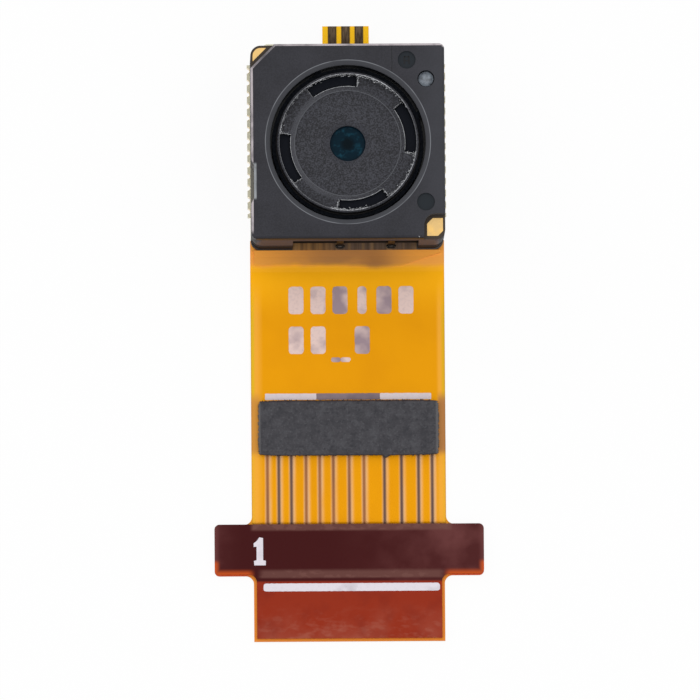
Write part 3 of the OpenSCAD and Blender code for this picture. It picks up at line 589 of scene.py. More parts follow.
def cast_polyimide(name, base, deep, glued=False, bands=()):
    """Amber polyimide, cast as film and laminated over copper: smooth, with faint ripples.

    The eye sees a clear, saturated orange with a soft golden sheen, redder at the
    edges the tail's stiffener lies on. It can be glued where it bends up to the board.
    Bands gives the places across where old flux has darkened the tab.
    """
    material, tree = open_material(name)
    clouds = spots(tree, 2.2, 3.0)
    ripples = spots(tree, 0.8, 2.0, (1, 3, 1))
    film = lay(tree, base, (deep, spread(tree, clouds, 0.45, 0.75)))
    if glued:
        film = glued_bend(tree, film)
    # The underside stays plain; above, the tail reddens and its ears' edges darken.
    above = upturned(tree, -0.6, -0.3)
    ears = combine(tree, "MULTIPLY", above, both_sides(tree, 4.2 * MM, 4.6 * MM))
    tail = combine(tree, "MULTIPLY", above,
                   along(tree, "Y", EAR_START - 0.9 * MM, EAR_START - 1.5 * MM))
    # Painted glow: the film's edges at the ears' feet are drawn red, carrying on the stiffener's
    # edge glow.
    red_ears = combine(tree, "MULTIPLY", ears,
                       along(tree, "Y", EAR_START - 1.2 * MM, EAR_START - 1.6 * MM))
    dark_ears = combine(tree, "MULTIPLY", ears,
                        along(tree, "Y", EAR_START - 1.5 * MM, EAR_START - 1.2 * MM),
                        along(tree, "Y", EAR_START + 0.4 * MM, EAR_START - 0.05 * MM))
    # The tab is drawn yellower and paler: partly the tab film's own tone, partly painted light
    # against the body's shade.
    on_tab = along(tree, "Y", FRAME_HIGH.y - 0.1 * MM, FRAME_HIGH.y)
    film = lay(tree, film, ("E0872B", tail), ("C85427", red_ears), ("6A4A40", dark_ears),
               ("FFC40C", on_tab))
    for x in bands:
        band = combine(tree, "MULTIPLY", on_tab, strip(tree, "X", x, 0.17 * MM, 0.05 * MM))
        film = lay(tree, film, ("4A3A22", band))
    return close_material(material, {
        "Base Color": film, "Metallic": 0.1, "Roughness": 0.35, "Specular IOR Level": 0.12},
        relief=(ripples, 0.01, 0.3))


def conformed_film(look):
    """Amber polyimide, pressed hot over etched copper, so it follows each conductor.

    The eye sees clear orange lands, with slopes paler by a painted highlight and brown
    lines between them.
    Its mesh carries how much gap, slope and margin lies at each place.
    """
    material, tree = open_material("amber_polyimide_pressed")
    gap, slope, cool, margin, outside = (
        add_node(tree, "ShaderNodeAttribute", settings={"attribute_name": n}).outputs["Fac"]
        for n in FILM_FACTS)
    clouds = spots(tree, 2.5, 3.0)
    fine = spots(tree, 0.5, 3.0, (1, 4, 1))
    streak = spread(tree, spots(tree, 0.9, 2.0, (1, 5, 1), shift=7.0), 0.45, 0.7)
    side = along(tree, "X", -1 * MM, 1 * MM)
    # Painted highlight on the slope off each conductor, paler at its foot.
    rim = combine(tree, "MULTIPLY", slope, spread(tree, fine, 0.05, 0.6))
    foot = combine(tree, "MULTIPLY", slope, slope, spread(tree, fine, 0.1, 0.6))
    beside_foam = combine(tree, "MULTIPLY",
                          along(tree, "Y", FOAM_LOW.y - 0.1 * MM, FOAM_LOW.y + 0.3 * MM),
                          along(tree, "Y", FOAM_HIGH.y + 0.5 * MM, FOAM_HIGH.y - 0.1 * MM))
    bare = lay(tree, look.margin_left, (look.margin_right, side))
    shaded = lay(tree, "D0903E", ("B27A45", side))
    film = lay(tree, look.film_colour, ("DF9306", spread(tree, clouds, 0.42, 0.8)),
               (look.slope_highlight_colour, rim), (look.slope_foot_highlight, foot),
               ("F0AA3C", combine(tree, "MULTIPLY", outside, 0.8)), (bare, margin),
               (shaded, combine(tree, "MULTIPLY", beside_foam, outside)))
    lines = lay(tree, look.gap_warm, (look.gap_cool, cool),
                ("5A4648", combine(tree, "MULTIPLY", streak, 0.5)))
    film = glued_bend(tree, lay(tree, film, (lines, gap)))
    rough = add_node(tree, "ShaderNodeMapRange",
                     {"Value": fine, "To Min": 0.25, "To Max": 0.4}).outputs[0]
    return close_material(material, {
        "Base Color": film, "Metallic": 0.12, "Roughness": rough,
        "Specular IOR Level": 0.03}, relief=(clouds, 0.012, 0.3))


def stiffener_polyimide(look):
    """Thick red-brown polyimide, built up and bonded behind the contacts.

    The eye sees a deep maroon with a dull haze over the ears, a clearer red-brown
    tongue that blooms paler toward its end, and an orange glow in its thin edges.
    """
    material, tree = open_material("red_brown_polyimide_laminated")
    haze = spread(tree, spots(tree, 1.6, 4.0), 0.42, 0.75)
    wisps = spread(tree, spots(tree, 0.5, 4.0, (1, 0.5, 1), shift=5.0), 0.5, 0.75)
    # Ears, hazed toward the right and a little at the far left.
    right = along(tree, "X", -1.0 * MM, 6.0 * MM)
    left = combine(tree, "MULTIPLY", along(tree, "X", -4.6 * MM, -5.8 * MM), 0.5)
    hazed = combine(tree, "MULTIPLY", combine(tree, "ADD", haze, 0.25),
                    combine(tree, "ADD", right, left))
    # Pale bands across the ears, where layers end.
    upper = combine(tree, "MULTIPLY",
                    along(tree, "Y", EAR_START - 0.34 * MM, EAR_START - 0.2 * MM),
                    along(tree, "X", -4.4 * MM, -4.2 * MM), along(tree, "X", 4.6 * MM, 4.4 * MM))
    lower = combine(tree, "MULTIPLY",
                    along(tree, "Y", EAR_END + 0.34 * MM, EAR_END + 0.14 * MM),
                    along(tree, "Y", EAR_END - 0.16 * MM, EAR_END - 0.04 * MM),
                    along(tree, "X", -4.1 * MM, -3.7 * MM), along(tree, "X", 4.3 * MM, 3.9 * MM))
    band = combine(tree, "MULTIPLY", combine(tree, "MAXIMUM", upper, lower),
                   combine(tree, "ADD", wisps, 0.75))
    ears = lay(tree, look.ear_colour, (look.haze_colour, hazed), (look.band_colour, band))
    # Tongue, paler toward its end, with darker patches.
    bloom = combine(tree, "MULTIPLY", combine(tree, "ADD", haze, wisps),
                    along(tree, "Y", EAR_END - 1.0 * MM, TAIL_LOW.y))
    patches = spread(tree, spots(tree, 0.9, 3.0, shift=9.0), 0.5, 0.8)
    tongue = lay(tree, look.tongue_colour, (look.bloom_colour, bloom),
                 ("7A2418", combine(tree, "MULTIPLY", patches, 0.5)))
    on_tongue = along(tree, "Y", EAR_END - 0.2 * MM, EAR_END - 0.32 * MM)
    # Edges: hazed at the ears' ends, glowing at their feet.
    foot = combine(tree, "MULTIPLY", both_sides(tree, 4.1 * MM, 4.5 * MM),
                   along(tree, "Y", EAR_END + 0.34 * MM, EAR_END + 0.04 * MM))
    ear_ends = both_sides(tree, TAIL_HIGH.x - 0.28 * MM, TAIL_HIGH.x)
    low_ends = combine(tree, "MULTIPLY", ear_ends,
                       along(tree, "Y", EAR_END + 0.75 * MM, EAR_END + 0.5 * MM))
    base = lay(tree, ears, (tongue, on_tongue),
               (look.haze_colour, combine(tree, "MULTIPLY", ear_ends, 0.8)),
               (look.glow_colour, combine(tree, "MAXIMUM", foot, low_ends)))
    return close_material(material, {
        "Base Color": base, "Roughness": 0.28, "Specular IOR Level": 0.04},
        relief=(haze, 0.006, 0.3))


def coated_glass(look):
    """Moulded lens with an anti-reflection coating, over a black bore.

    The eye sees a dark teal well, darkest at its middle, with small blue glints.
    """
    material, tree = open_material("coated_glass_moulded")
    middle = around(tree, 0.15 * MM, 0.42 * MM)
    rim = around(tree, 0.62 * MM, 0.78 * MM)
    glints = combine(tree, "MULTIPLY", spread(tree, spots(tree, 0.22, 2.0), 0.52, 0.75), middle)
    base = lay(tree, "061219", (look.glass_colour, middle),
               ("1C4C5E", combine(tree, "MULTIPLY", glints, 0.7)), ("0A1E2A", rim))
    return close_material(material, {
        "Base Color": base, "Roughness": 0.12, "IOR": 1.53, "Specular IOR Level": 0.015,
        "Coat Weight": 0.02, "Coat Roughness": 0.03})


def clear_element(name, tint):
    """Clear moulded cyclo-olefin or filter glass, faintly tinted by its coating.

    The eye sees through it, with a slight cast of the coating.
    """
    material, tree = open_material(name)
    cast = lay(tree, tint, ("E8F6FF", spread(tree, spots(tree, 2.0), 0.3, 0.7)))
    return close_material(material, {
        "Base Color": cast, "Roughness": 0.04, "IOR": 1.53, "Transmission Weight": 0.9})


def dull_mineral(name, base, speck):
    """A fired titanate, a chip's filled epoxy or a grain of dust.

    The eye sees a dull stony body with fine darker specks.
    """
    material, tree = open_material(name)
    specks = spread(tree, spots(tree, 0.06, 3.0), 0.45, 0.7)
    return close_material(material, {
        "Base Color": lay(tree, base, (speck, specks)), "Roughness": 0.6})


def polished_silicon():
    """Polished silicon die: dark and glossy, with the faint grid of its light-cells.

    The grid is drawn many times as coarse as it is, so that it shows.
    """
    material, tree = open_material("silicon_polished")
    cell_mm = 0.04
    where = add_node(tree, "ShaderNodeTexCoord").outputs["Object"]
    # At a scale of 1, the texture's bricks are half a metre wide.
    grid = add_node(tree, "ShaderNodeTexBrick", {
        "Vector": where, "Scale": 0.5 / (cell_mm * MM), "Color1": tone("26343A"),
        "Color2": tone("2B3C46"), "Mortar": tone("1A2226")}).outputs[0]
    return close_material(material, {"Base Color": grid, "Roughness": 0.08, "Metallic": 0.3})


def glass_laminate(name, resist, weave):
    """Glass-epoxy laminate under solder resist: the weave shows as a faint grid.

    The eye sees a pale olive board, and brown resist over dark tracks in the window
    beside the circuit.
    """
    material, tree = open_material(name)
    threads = combine(tree, "MAXIMUM", *(waves(tree, axis, 0.592, 0.4) for axis in "XY"))
    chalk = spread(tree, spots(tree, 0.15, 3.0), 0.5, 0.75)
    in_window = along(tree, "Y", FRAME_LOW.y + 0.6 * MM, FRAME_LOW.y + 0.4 * MM)
    tracks = spread(tree, spots(tree, 0.16, 1.0, (1, 400, 400), shift=3.0), 0.42, 0.6)
    bright_tracks = spread(tree, spots(tree, 0.4, 1.0, (1, 400, 400), shift=8.0), 0.5, 0.62)
    window = lay(tree, "966A38", ("6C5442", along(tree, "X", -1.4 * MM, -0.2 * MM)),
                 ("43311F", combine(tree, "MULTIPLY", tracks, 0.6)),
                 ("B88C56", combine(tree, "MULTIPLY", bright_tracks, 0.45)),
                 ("2A2625", along(tree, "X", -2.35 * MM, -2.45 * MM)),
                 ("4A423F", along(tree, "X", 3.0 * MM, 3.1 * MM)))
    base = lay(tree, resist, (weave, combine(tree, "MULTIPLY", threads, 0.5)),
               ("D6CFAE", combine(tree, "MULTIPLY", chalk, 0.5)), (window, in_window))
    return close_material(material, {
        "Base Color": base, "Roughness": 0.45, "Specular IOR Level": 0.3},
        relief=(threads, 0.004, 0.5))


def cured_glue():
    """Epoxy squeezed out under the body and cured: amber-brown, wet-looking, uneven."""
    material, tree = open_material("brown_epoxy_cured")
    return close_material(material, {
        "Base Color": glued_bend(tree, tone("E2981C")), "Roughness": 0.35,
        "Specular IOR Level": 0.1})


def enamelled_wire():
    """Copper wire in dark enamel, wound in even turns: fine ridges round the coil.

    The turns are drawn about twice as coarse as they are, so that they show.
    """
    material, tree = open_material("dark_enamelled_copper_wound")
    turns = waves(tree, "Z", 0.1184)
    return close_material(material, {
        "Base Color": lay(tree, "121418", ("22262C", turns)), "Roughness": 0.3,
        "Specular IOR Level": 0.3}, relief=(turns, 0.02, 0.8))


def cut_foam(look):
    """Conductive urethane foam with a fine napped face: dull grey with tiny pores."""
    material, tree = open_material("grey_urethane_foam_napped")
    pores = spots(tree, 0.14, 4.0)
    patches = spots(tree, 0.45, 3.0)
    fuzz = spread(tree, spots(tree, 0.09, 3.0, shift=4.0), 0.52, 0.72)
    dark_patches = combine(tree, "MULTIPLY", spread(tree, patches, 0.5, 0.3), 0.7)
    pale_patches = combine(tree, "MULTIPLY", spread(tree, patches, 0.52, 0.7), 0.6)
    sides = combine(tree, "MAXIMUM",
                    along(tree, "X", FOAM_LOW.x + 0.16 * MM, FOAM_LOW.x + 0.08 * MM),
                    along(tree, "X", FOAM_HIGH.x - 0.2 * MM, FOAM_HIGH.x - 0.08 * MM))
    # Painted shade: a dark line along the pad's back edge.
    back = along(tree, "Y", FOAM_HIGH.y - 0.12 * MM, FOAM_HIGH.y)
    base = lay(tree, look.foam_colour, (look.foam_dark, spread(tree, pores, 0.5, 0.32)),
               (look.foam_pale, fuzz), (look.foam_dark, dark_patches),
               (look.foam_pale, pale_patches),
               ("7E7C7C", combine(tree, "MULTIPLY", sides, 0.5)),
               ("3A2A28", combine(tree, "MULTIPLY", back, 0.8)))
    return close_material(material, {
        "Base Color": base, "Roughness": 0.95, "Specular IOR Level": 0.05},
        relief=(pores, 0.03, 1.0))


def screened_ink(name, base, thin, thin_share=0.0):
    """Epoxy ink, screen printed: chalky and slightly uneven, thin in places.

    Thin_share, from 0 to 1, is how much of it lets the tone below through.
    """
    material, tree = open_material(name)
    lumps = spots(tree, 0.12, 3.0)
    patches = spots(tree, 0.9, 2.0, shift=2.0)
    threshold = 0.6 - 0.3 * thin_share
    shade = combine(tree, "MULTIPLY", spread(tree, patches, threshold, threshold + 0.3), 0.9)
    speckle = combine(tree, "MULTIPLY", spread(tree, lumps, 0.5, 0.8), 0.25)
    return close_material(material, {
        "Base Color": lay(tree, base, (thin, speckle), (thin, shade)), "Roughness": 0.6,
        "Specular IOR Level": 0.1}, relief=(lumps, 0.006, 0.5))


def torn_flash(look):
    """Polycarbonate flash, torn along the mould's parting lines: stress-whitened.

    The eye sees a thin broken line, from charcoal to white where it has torn; the white
    is partly a painted highlight on the edges.
    """
    material, tree = open_material("black_polycarbonate_torn")
    white = add_node(tree, "ShaderNodeAttribute", settings={"attribute_name": "torn"})
    chips = spread(tree, spots(tree, 0.07, 3.0), 0.3, 0.6)
    share = combine(tree, "MULTIPLY", white.outputs["Fac"], combine(tree, "ADD", chips, 0.45))
    return close_material(material, {
        "Base Color": lay(tree, look.face_colour, (look.flash_colour, share)),
        "Roughness": 0.5})


def satin_dome():
    """Grey polycarbonate pin, melted over into a dome: a smooth cloudy bead."""
    material, tree = open_material("grey_polycarbonate_staked")
    clouds = spread(tree, spots(tree, 0.18, 3.0), 0.35, 0.7)
    return close_material(material, {
        "Base Color": lay(tree, "565C64", ("8B949E", clouds)), "Roughness": 0.3,
        "Specular IOR Level": 0.5})


# ---- Mesh helpers ------------------------------------------------------------


def add_piece(name, shape, material, body, smooth=False):
    """Makes a mesh piece in the frame and lets it ride on a body, if one is given."""
    verts, faces = shape
    mesh = bpy.data.meshes.new(name)
    mesh.from_pydata([tuple(v) for v in verts], [], faces)
    if mesh.validate():
        raise RuntimeError(f"{name} had faces that make no sense")
    mesh.polygons.foreach_set("use_smooth", [smooth] * len(mesh.polygons))
    mesh.materials.append(material)
    piece = bpy.data.objects.new(name, mesh)
    bpy.context.scene.collection.objects.link(piece)
    if body:
        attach(piece, body)
    return piece


def paint(piece, name, values):
    """Gives each corner of a piece a value that its material reads."""
    attribute = piece.data.attributes.new(name, "FLOAT", "POINT")
    attribute.data.foreach_set("value", values)


def soften(piece, width, segments=2, angle=math.radians(30)):
    """Rounds a piece's sharp edges."""
    weld = piece.modifiers.new("Weld", "WELD")
    weld.merge_threshold = 1e-7
    bevel = piece.modifiers.new("Bevel", "BEVEL")
    bevel.width, bevel.segments = width, segments
    bevel.limit_method, bevel.angle_limit = "ANGLE", angle
    bevel.use_clamp_overlap = True
    bevel.harden_normals = True


def ease(value, start, end):
    """Smooth share that goes from 0, where a value is start, to 1, where it is end."""
    share = min(1, max(0, (value - start) / (end - start)))
    return share * share * (3 - 2 * share)


def polar(radius, degrees):
    """Place at a distance from the optical axis, in the direction of an angle."""
    angle = math.radians(degrees)
    return radius * math.cos(angle), radius * math.sin(angle)


def skin(rings, sides, ends="capped"):
    """Faces over rings of corners, with so many to a ring: capped, open or joined up."""
    faces = [(k * sides + i, k * sides + (i + 1) % sides,
              (k + 1) % rings * sides + (i + 1) % sides, (k + 1) % rings * sides + i)
             for k in range(rings if ends == "joined" else rings - 1) for i in range(sides)]
    if ends == "capped":
        faces.append(tuple(reversed(range(sides))))
        faces.append(tuple(range((rings - 1) * sides, rings * sides)))
    return faces


def prism(outline, low, high):
    """Corners and faces of a flat outline, given anticlockwise, between two heights."""
    n = len(outline)
    verts = [(x, y, high) for x, y in outline] + [(x, y, low) for x, y in outline]
    faces = [tuple(range(n)), tuple(reversed(range(n, 2 * n)))]
    faces += [(i, i + n, (i + 1) % n + n, (i + 1) % n) for i in range(n)]
    return verts, faces


def merge(parts):
    """Joins several sets of corners and faces into one."""
    verts, faces = [], []
    for part_verts, part_faces in parts:
        faces += [tuple(i + len(verts) for i in face) for face in part_faces]
        verts += list(part_verts)
    return verts, faces


def rounded_box(x0, y0, x1, y1, radius, wobble=0.0, seed=0.0):
    """Outline of a rectangle with round corners, its line wandering by wobble."""
    corners = [(x1 - radius, y0 + radius, -90), (x1 - radius, y1 - radius, 0),
               (x0 + radius, y1 - radius, 90), (x0 + radius, y0 + radius, 180)]
    points = []
    for x, y, start in corners:
        for degrees in range(start, start + 91, 18):
            dx, dy = polar(radius, degrees)
            points.append((x + dx, y + dy))
    if not wobble:
        return points
    step, wave = 0.06 * MM, 0.12 * MM
    dense = []
    for (ax, ay), (bx, by) in zip(points, points[1:] + points[:1]):
        pieces = max(1, round(math.dist((ax, ay), (bx, by)) / step))
        dense += [(ax + (bx - ax) * k / pieces, ay + (by - ay) * k / pieces)
                  for k in range(pieces)]
    return [(x + wobble * noise.noise(Vector((x, y, 0)) / wave + Vector((seed, 0, 0))),
             y + wobble * noise.noise(Vector((x, y, 0)) / wave + Vector((0, seed, 9))))
            for x, y in dense]


def grid_slab(xs, ys, top, low):
    """Corners and faces of a slab with a flat underside and a top that follows a function."""
    w, n = len(xs), len(xs) * len(ys)
    verts = [(x, y, top(x, y)) for y in ys for x in xs] + [(x, y, low) for y in ys for x in xs]
    faces = [(r * w + c, r * w + c + 1, (r + 1) * w + c + 1, (r + 1) * w + c)
             for r in range(len(ys) - 1) for c in range(w - 1)]
    faces += [tuple(n + i for i in reversed(face)) for face in faces]
    rim = (list(range(w)) + [r * w + w - 1 for r in range(1, len(ys))]
           + [(len(ys) - 1) * w + c for c in range(w - 2, -1, -1)]
           + [r * w for r in range(len(ys) - 2, 0, -1)])
    faces += [(a, a + n, b + n, b) for a, b in zip(rim, rim[1:] + rim[:1])]
    return verts, faces


def arc_bead(start, end, steps, line):
    """Corners and faces of a thin four-sided bead along an arc about the optical axis.

    Line gives the bead's radius, height and half thickness at an angle in degrees.
    """
    verts = []
    for k in range(steps + 1):
        degrees = start + (end - start) * k / steps
        r, z, t = line(degrees)
        verts += [polar(r + dr * t, degrees) + (z + dz * t,)
                  for dr, dz in ((-1, 0), (0, -1), (1, 0), (0, 1))]
    return verts, skin(steps + 1, 4, "open" if end - start == 360 else "capped")


def tube(line, thick):
    """Corners and faces of a thin four-sided bead along a line of places."""
    verts = []
    for k, place in enumerate(line):
        way = (line[min(k + 1, len(line) - 1)] - line[max(k - 1, 0)]).normalized()
        side = way.cross(Vector((0, 0, 1))).normalized() * thick
        lift = Vector((0, 0, thick))
        verts += [place - side, place - lift, place + side, place + lift]
    return verts, skin(len(line), 4)


def flat_band(stations, low, high, ends="capped"):
    """Flat band round the optical axis; each station is an angle and two radii."""
    verts = [polar(r, a) + (z,) for a, inner, outer in stations
             for r, z in ((inner, high), (outer, high), (outer, low), (inner, low))]
    return verts, skin(len(stations), 4, ends)


def splinter(rng, x, y, z, size, heading=None):
    """Corners and faces of one torn sliver, lying within size of its place."""
    turn = heading if heading is not None else rng.uniform(0, 2 * math.pi)
    long_way = Vector((math.cos(turn), math.sin(turn), rng.uniform(-0.1, 0.25)))
    side = Vector((-math.sin(turn), math.cos(turn), 0)) * rng.uniform(0.12, 0.3)
    place = Vector((x, y, z))
    verts = [place - long_way * size, place + side * size, place - side * size,
             place + long_way * size, place + Vector((0, 0, 0.25 * size)),
             place - Vector((0, 0, 0.25 * size))]
    faces = [(0, 2, 4), (2, 3, 4), (3, 1, 4), (1, 0, 4),
             (2, 0, 5), (3, 2, 5), (1, 3, 5), (0, 1, 5)]
    return verts, faces


# ---- Operators ---------------------------------------------------------------


def node_finishes(body, barrel, tail, foam):
    """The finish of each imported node, by the node's name."""
    plastic = (body.housing_colour, "262324")
    housing = matt_black("black_lcp_moulded", *plastic, grit_mm=0.08, gloss=0.06,
                         details=housing_dust_and_painted_light("4A444B"))
    base = matt_black("black_lcp_matt", "0E0D0E", "171516", grit_mm=0.08, roughness=0.7,
                      gloss=0.06, details=housing_dust_and_painted_light("2B282C"))
    inside = matt_black("black_lcp_precision_moulded", *plastic, grit_mm=0.05, gloss=0.1)
    gold = plated_gold("immersion_gold_plated", body.gold_colour, "BC9A5E")
    clear = clear_element("cyclo_olefin_moulded", "DCEFFA")
    return {
        "back_stiffener": streaked_metal("stainless_steel_brushed", "C9C7C2", "9A9894", 0.3,
                                         (1, 40, 1), 0.05),
        "flex_film": cast_polyimide("amber_polyimide_cast", "E39A1C", "D68C16",
                                    bands=(-TAB_PITCH, 0, TAB_PITCH)),
        "copper_traces": streaked_metal("copper_etched", "D99A4A", "B0702C", 0.4),
        "coverlay": cast_polyimide("amber_coverlay_laminated", "E69A0C", "DC920E", glued=True),
        # The tab's contacts are drawn darker toward the body.
        "tab_contacts": streaked_metal("copper_darkened", "5E5040", "231A15", 0.5, (1, 6, 1), 0.08,
                                       darkening=(TAB_HIGH.y, COVER_HIGH.y + 0.1 * MM)),
        "contact_fingers": plated_gold("hard_gold_electroplated", "D2A650", "DDB868"),
        "tail_stiffener": stiffener_polyimide(tail),
        "edge_glue": cured_glue(),
        "sensor_board": glass_laminate("glass_epoxy_laminated", "F0EACA", "F6F1DC"),
        "board_edge_pads": plated_gold("immersion_gold_edge", "EDE2CC", "DCC9A4"),
        "image_sensor": polished_silicon(),
        "bond_wires": gold,
        "board_capacitors": dull_mineral("barium_titanate_fired", "A9865E", "8A6A46"),
        "driver_chip": dull_mineral("moulded_epoxy_package", "2B2C2E", "3A3B3D"),
        "filter_holder": base,
        "ir_filter": clear_element("filter_glass_coated", "BFE3EA"),
        "actuator_base": base,
        "actuator_terminals": streaked_metal("phosphor_bronze_darkened", "35302D", "1E1B1A",
                                             0.45, (1, 1, 6), 0.08),
        "lower_spring": streaked_metal("spring_bronze_etched", "C79A55", "9C7234", 0.3),
        "upper_spring": streaked_metal("spring_bronze_blackened", "101216", "090A0D", 0.5),
        "actuator_frame": housing,
        "yoke": streaked_metal("steel_deep_drawn", "C8BEB0", "5F554A", 0.16, (1, 1, 30), 0.16,
                               0.004),
        "magnets": streaked_metal("nickel_plated_magnet", "B5B2AC", "8F8C86", 0.3),
        "corner_contacts": gold,
        "cover": matt_black("black_lcp_spark_eroded", body.cover_colour, body.cover_pale,
                            details=cover_marks_and_painted_light(body)),
        "cover_post": satin_dome(),
        "lens_carrier": inside,
        "coil": enamelled_wire(),
        "lens_barrel": grained_barrel(barrel),
        "lens_1": coated_glass(barrel),
        "lens_2": clear,
        "lens_3": clear,
        "lens_4": clear,
        "light_shields": matt_black("black_polyester_stamped", "141415", "1D1D1F",
                                    grit_mm=0.04),
        "retainer_ring": inside,
        "foam_pad": cut_foam(foam),
    }


class MODULE_OT_finish_nodes(bpy.types.Operator):
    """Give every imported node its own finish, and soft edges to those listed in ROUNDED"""
    bl_idname = "camera_module.finish_nodes"
    bl_label = "Finish Packed Nodes"

    # How round each moulded or stamped piece's edges are, as a share of the edge rounding.
    ROUNDED = {"cover": 1.0, "actuator_frame": 0.8, "actuator_base": 0.8,
               "filter_holder": 0.8, "lens_barrel": 0.5, "sensor_board": 0.5,
               "back_stiffener": 0.5, "tail_stiffener": 0.7, "corner_contacts": 0.15,
               "actuator_terminals": 0.6}

    def execute(self, context):
        scene = context.scene
        finishes = node_finishes(scene.module_body, scene.module_barrel, scene.module_tail,
                                 scene.module_foam)
        missing = set(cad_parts) - set(finishes)
        if missing:
            raise RuntimeError(f"these nodes have no finish: {sorted(missing)}")
        for name, finish in finishes.items():
            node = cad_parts[name]
            if not node.material_slots:
                node.data.materials.append(None)
            for slot in node.material_slots:
                slot.material = finish
            if name in self.ROUNDED:
                soften(node, scene.module_body.edge_round * self.ROUNDED[name])
        return {"FINISHED"}


class MODULE_OT_cover_details(bpy.types.Operator):
    """Add the cover's weld line, mould mark and speck of dust"""
    bl_idname = "camera_module.cover_details"
    bl_label = "Cover Details"

    # Raised bars that the ejector pin's worn face has left in the back mark: place
    # from the mark's middle and half sizes, in millimetres.
    BARS = ((-0.1, 0, 0.03, 0.17), (0.1, 0, 0.03, 0.17), (0, 0.15, 0.1, 0.025),
            (0, -0.02, 0.08, 0.025))
    DUST_PLACE = (3.1 * MM, COVER_LOW.y + 0.05 * MM)

    def weld_line(self, bevel_r):
        """Low ridge from the opening's bevel to the back edge."""
        x, half_w, steps = 1.95 * MM, 0.012 * MM, 24
        start = math.sqrt((bevel_r + 0.02 * MM) ** 2 - x * x)
        end = COVER_HIGH.y - 0.12 * MM
        left, right = [], []
        for k in range(steps + 1):
            y = start + (end - start) * k / steps
            mid = x + 0.02 * MM * noise.noise(Vector((y / (0.3 * MM), 0, 0)))
            left.append((mid - half_w, y))
            right.append((mid + half_w, y))
        return prism(right + left[::-1], COVER_HIGH.z - 0.01 * MM, COVER_HIGH.z + 0.0015 * MM)

    def mark_relief(self):
        """Bars on the sunk floor of the back ejector mark."""
        floor = COVER_HIGH.z - 0.1 * MM
        bars = []
        for dx, dy, half_w, half_h in self.BARS:
            x, y = BACK_MARK[0] + dx * MM, BACK_MARK[1] + dy * MM
            outline = rounded_box(x - half_w * MM, y - half_h * MM, x + half_w * MM,
                                  y + half_h * MM, 0.02 * MM)
            bars.append(prism(outline, floor - 0.01 * MM, floor + 0.015 * MM))
        return merge(bars)

    def dust(self):
        """A few crossed grains near the front edge."""
        rng = random.Random(11)
        x, y = self.DUST_PLACE
        return merge([splinter(rng, x + rng.uniform(-0.02, 0.02) * MM,
                               y + rng.uniform(-0.02, 0.02) * MM, COVER_HIGH.z, 0.03 * MM)
                      for _ in range(4)])

    def execute(self, context):
        ridge = matt_black("black_lcp_weld_line", "17181A", "1F2022", grit_mm=0.04)
        grit = dull_mineral("mineral_dust", "DADADA", "B8B8B8")
        bevel_r = context.scene.module_body.bevel_r
        for name, shape, material in (
                ("cover_weld_line", self.weld_line(bevel_r), ridge),
                ("ejector_mark_relief", self.mark_relief(), ridge),
                ("dust_speck", self.dust(), grit)):
            add_piece(name, shape, material, "module")
        return {"FINISHED"}


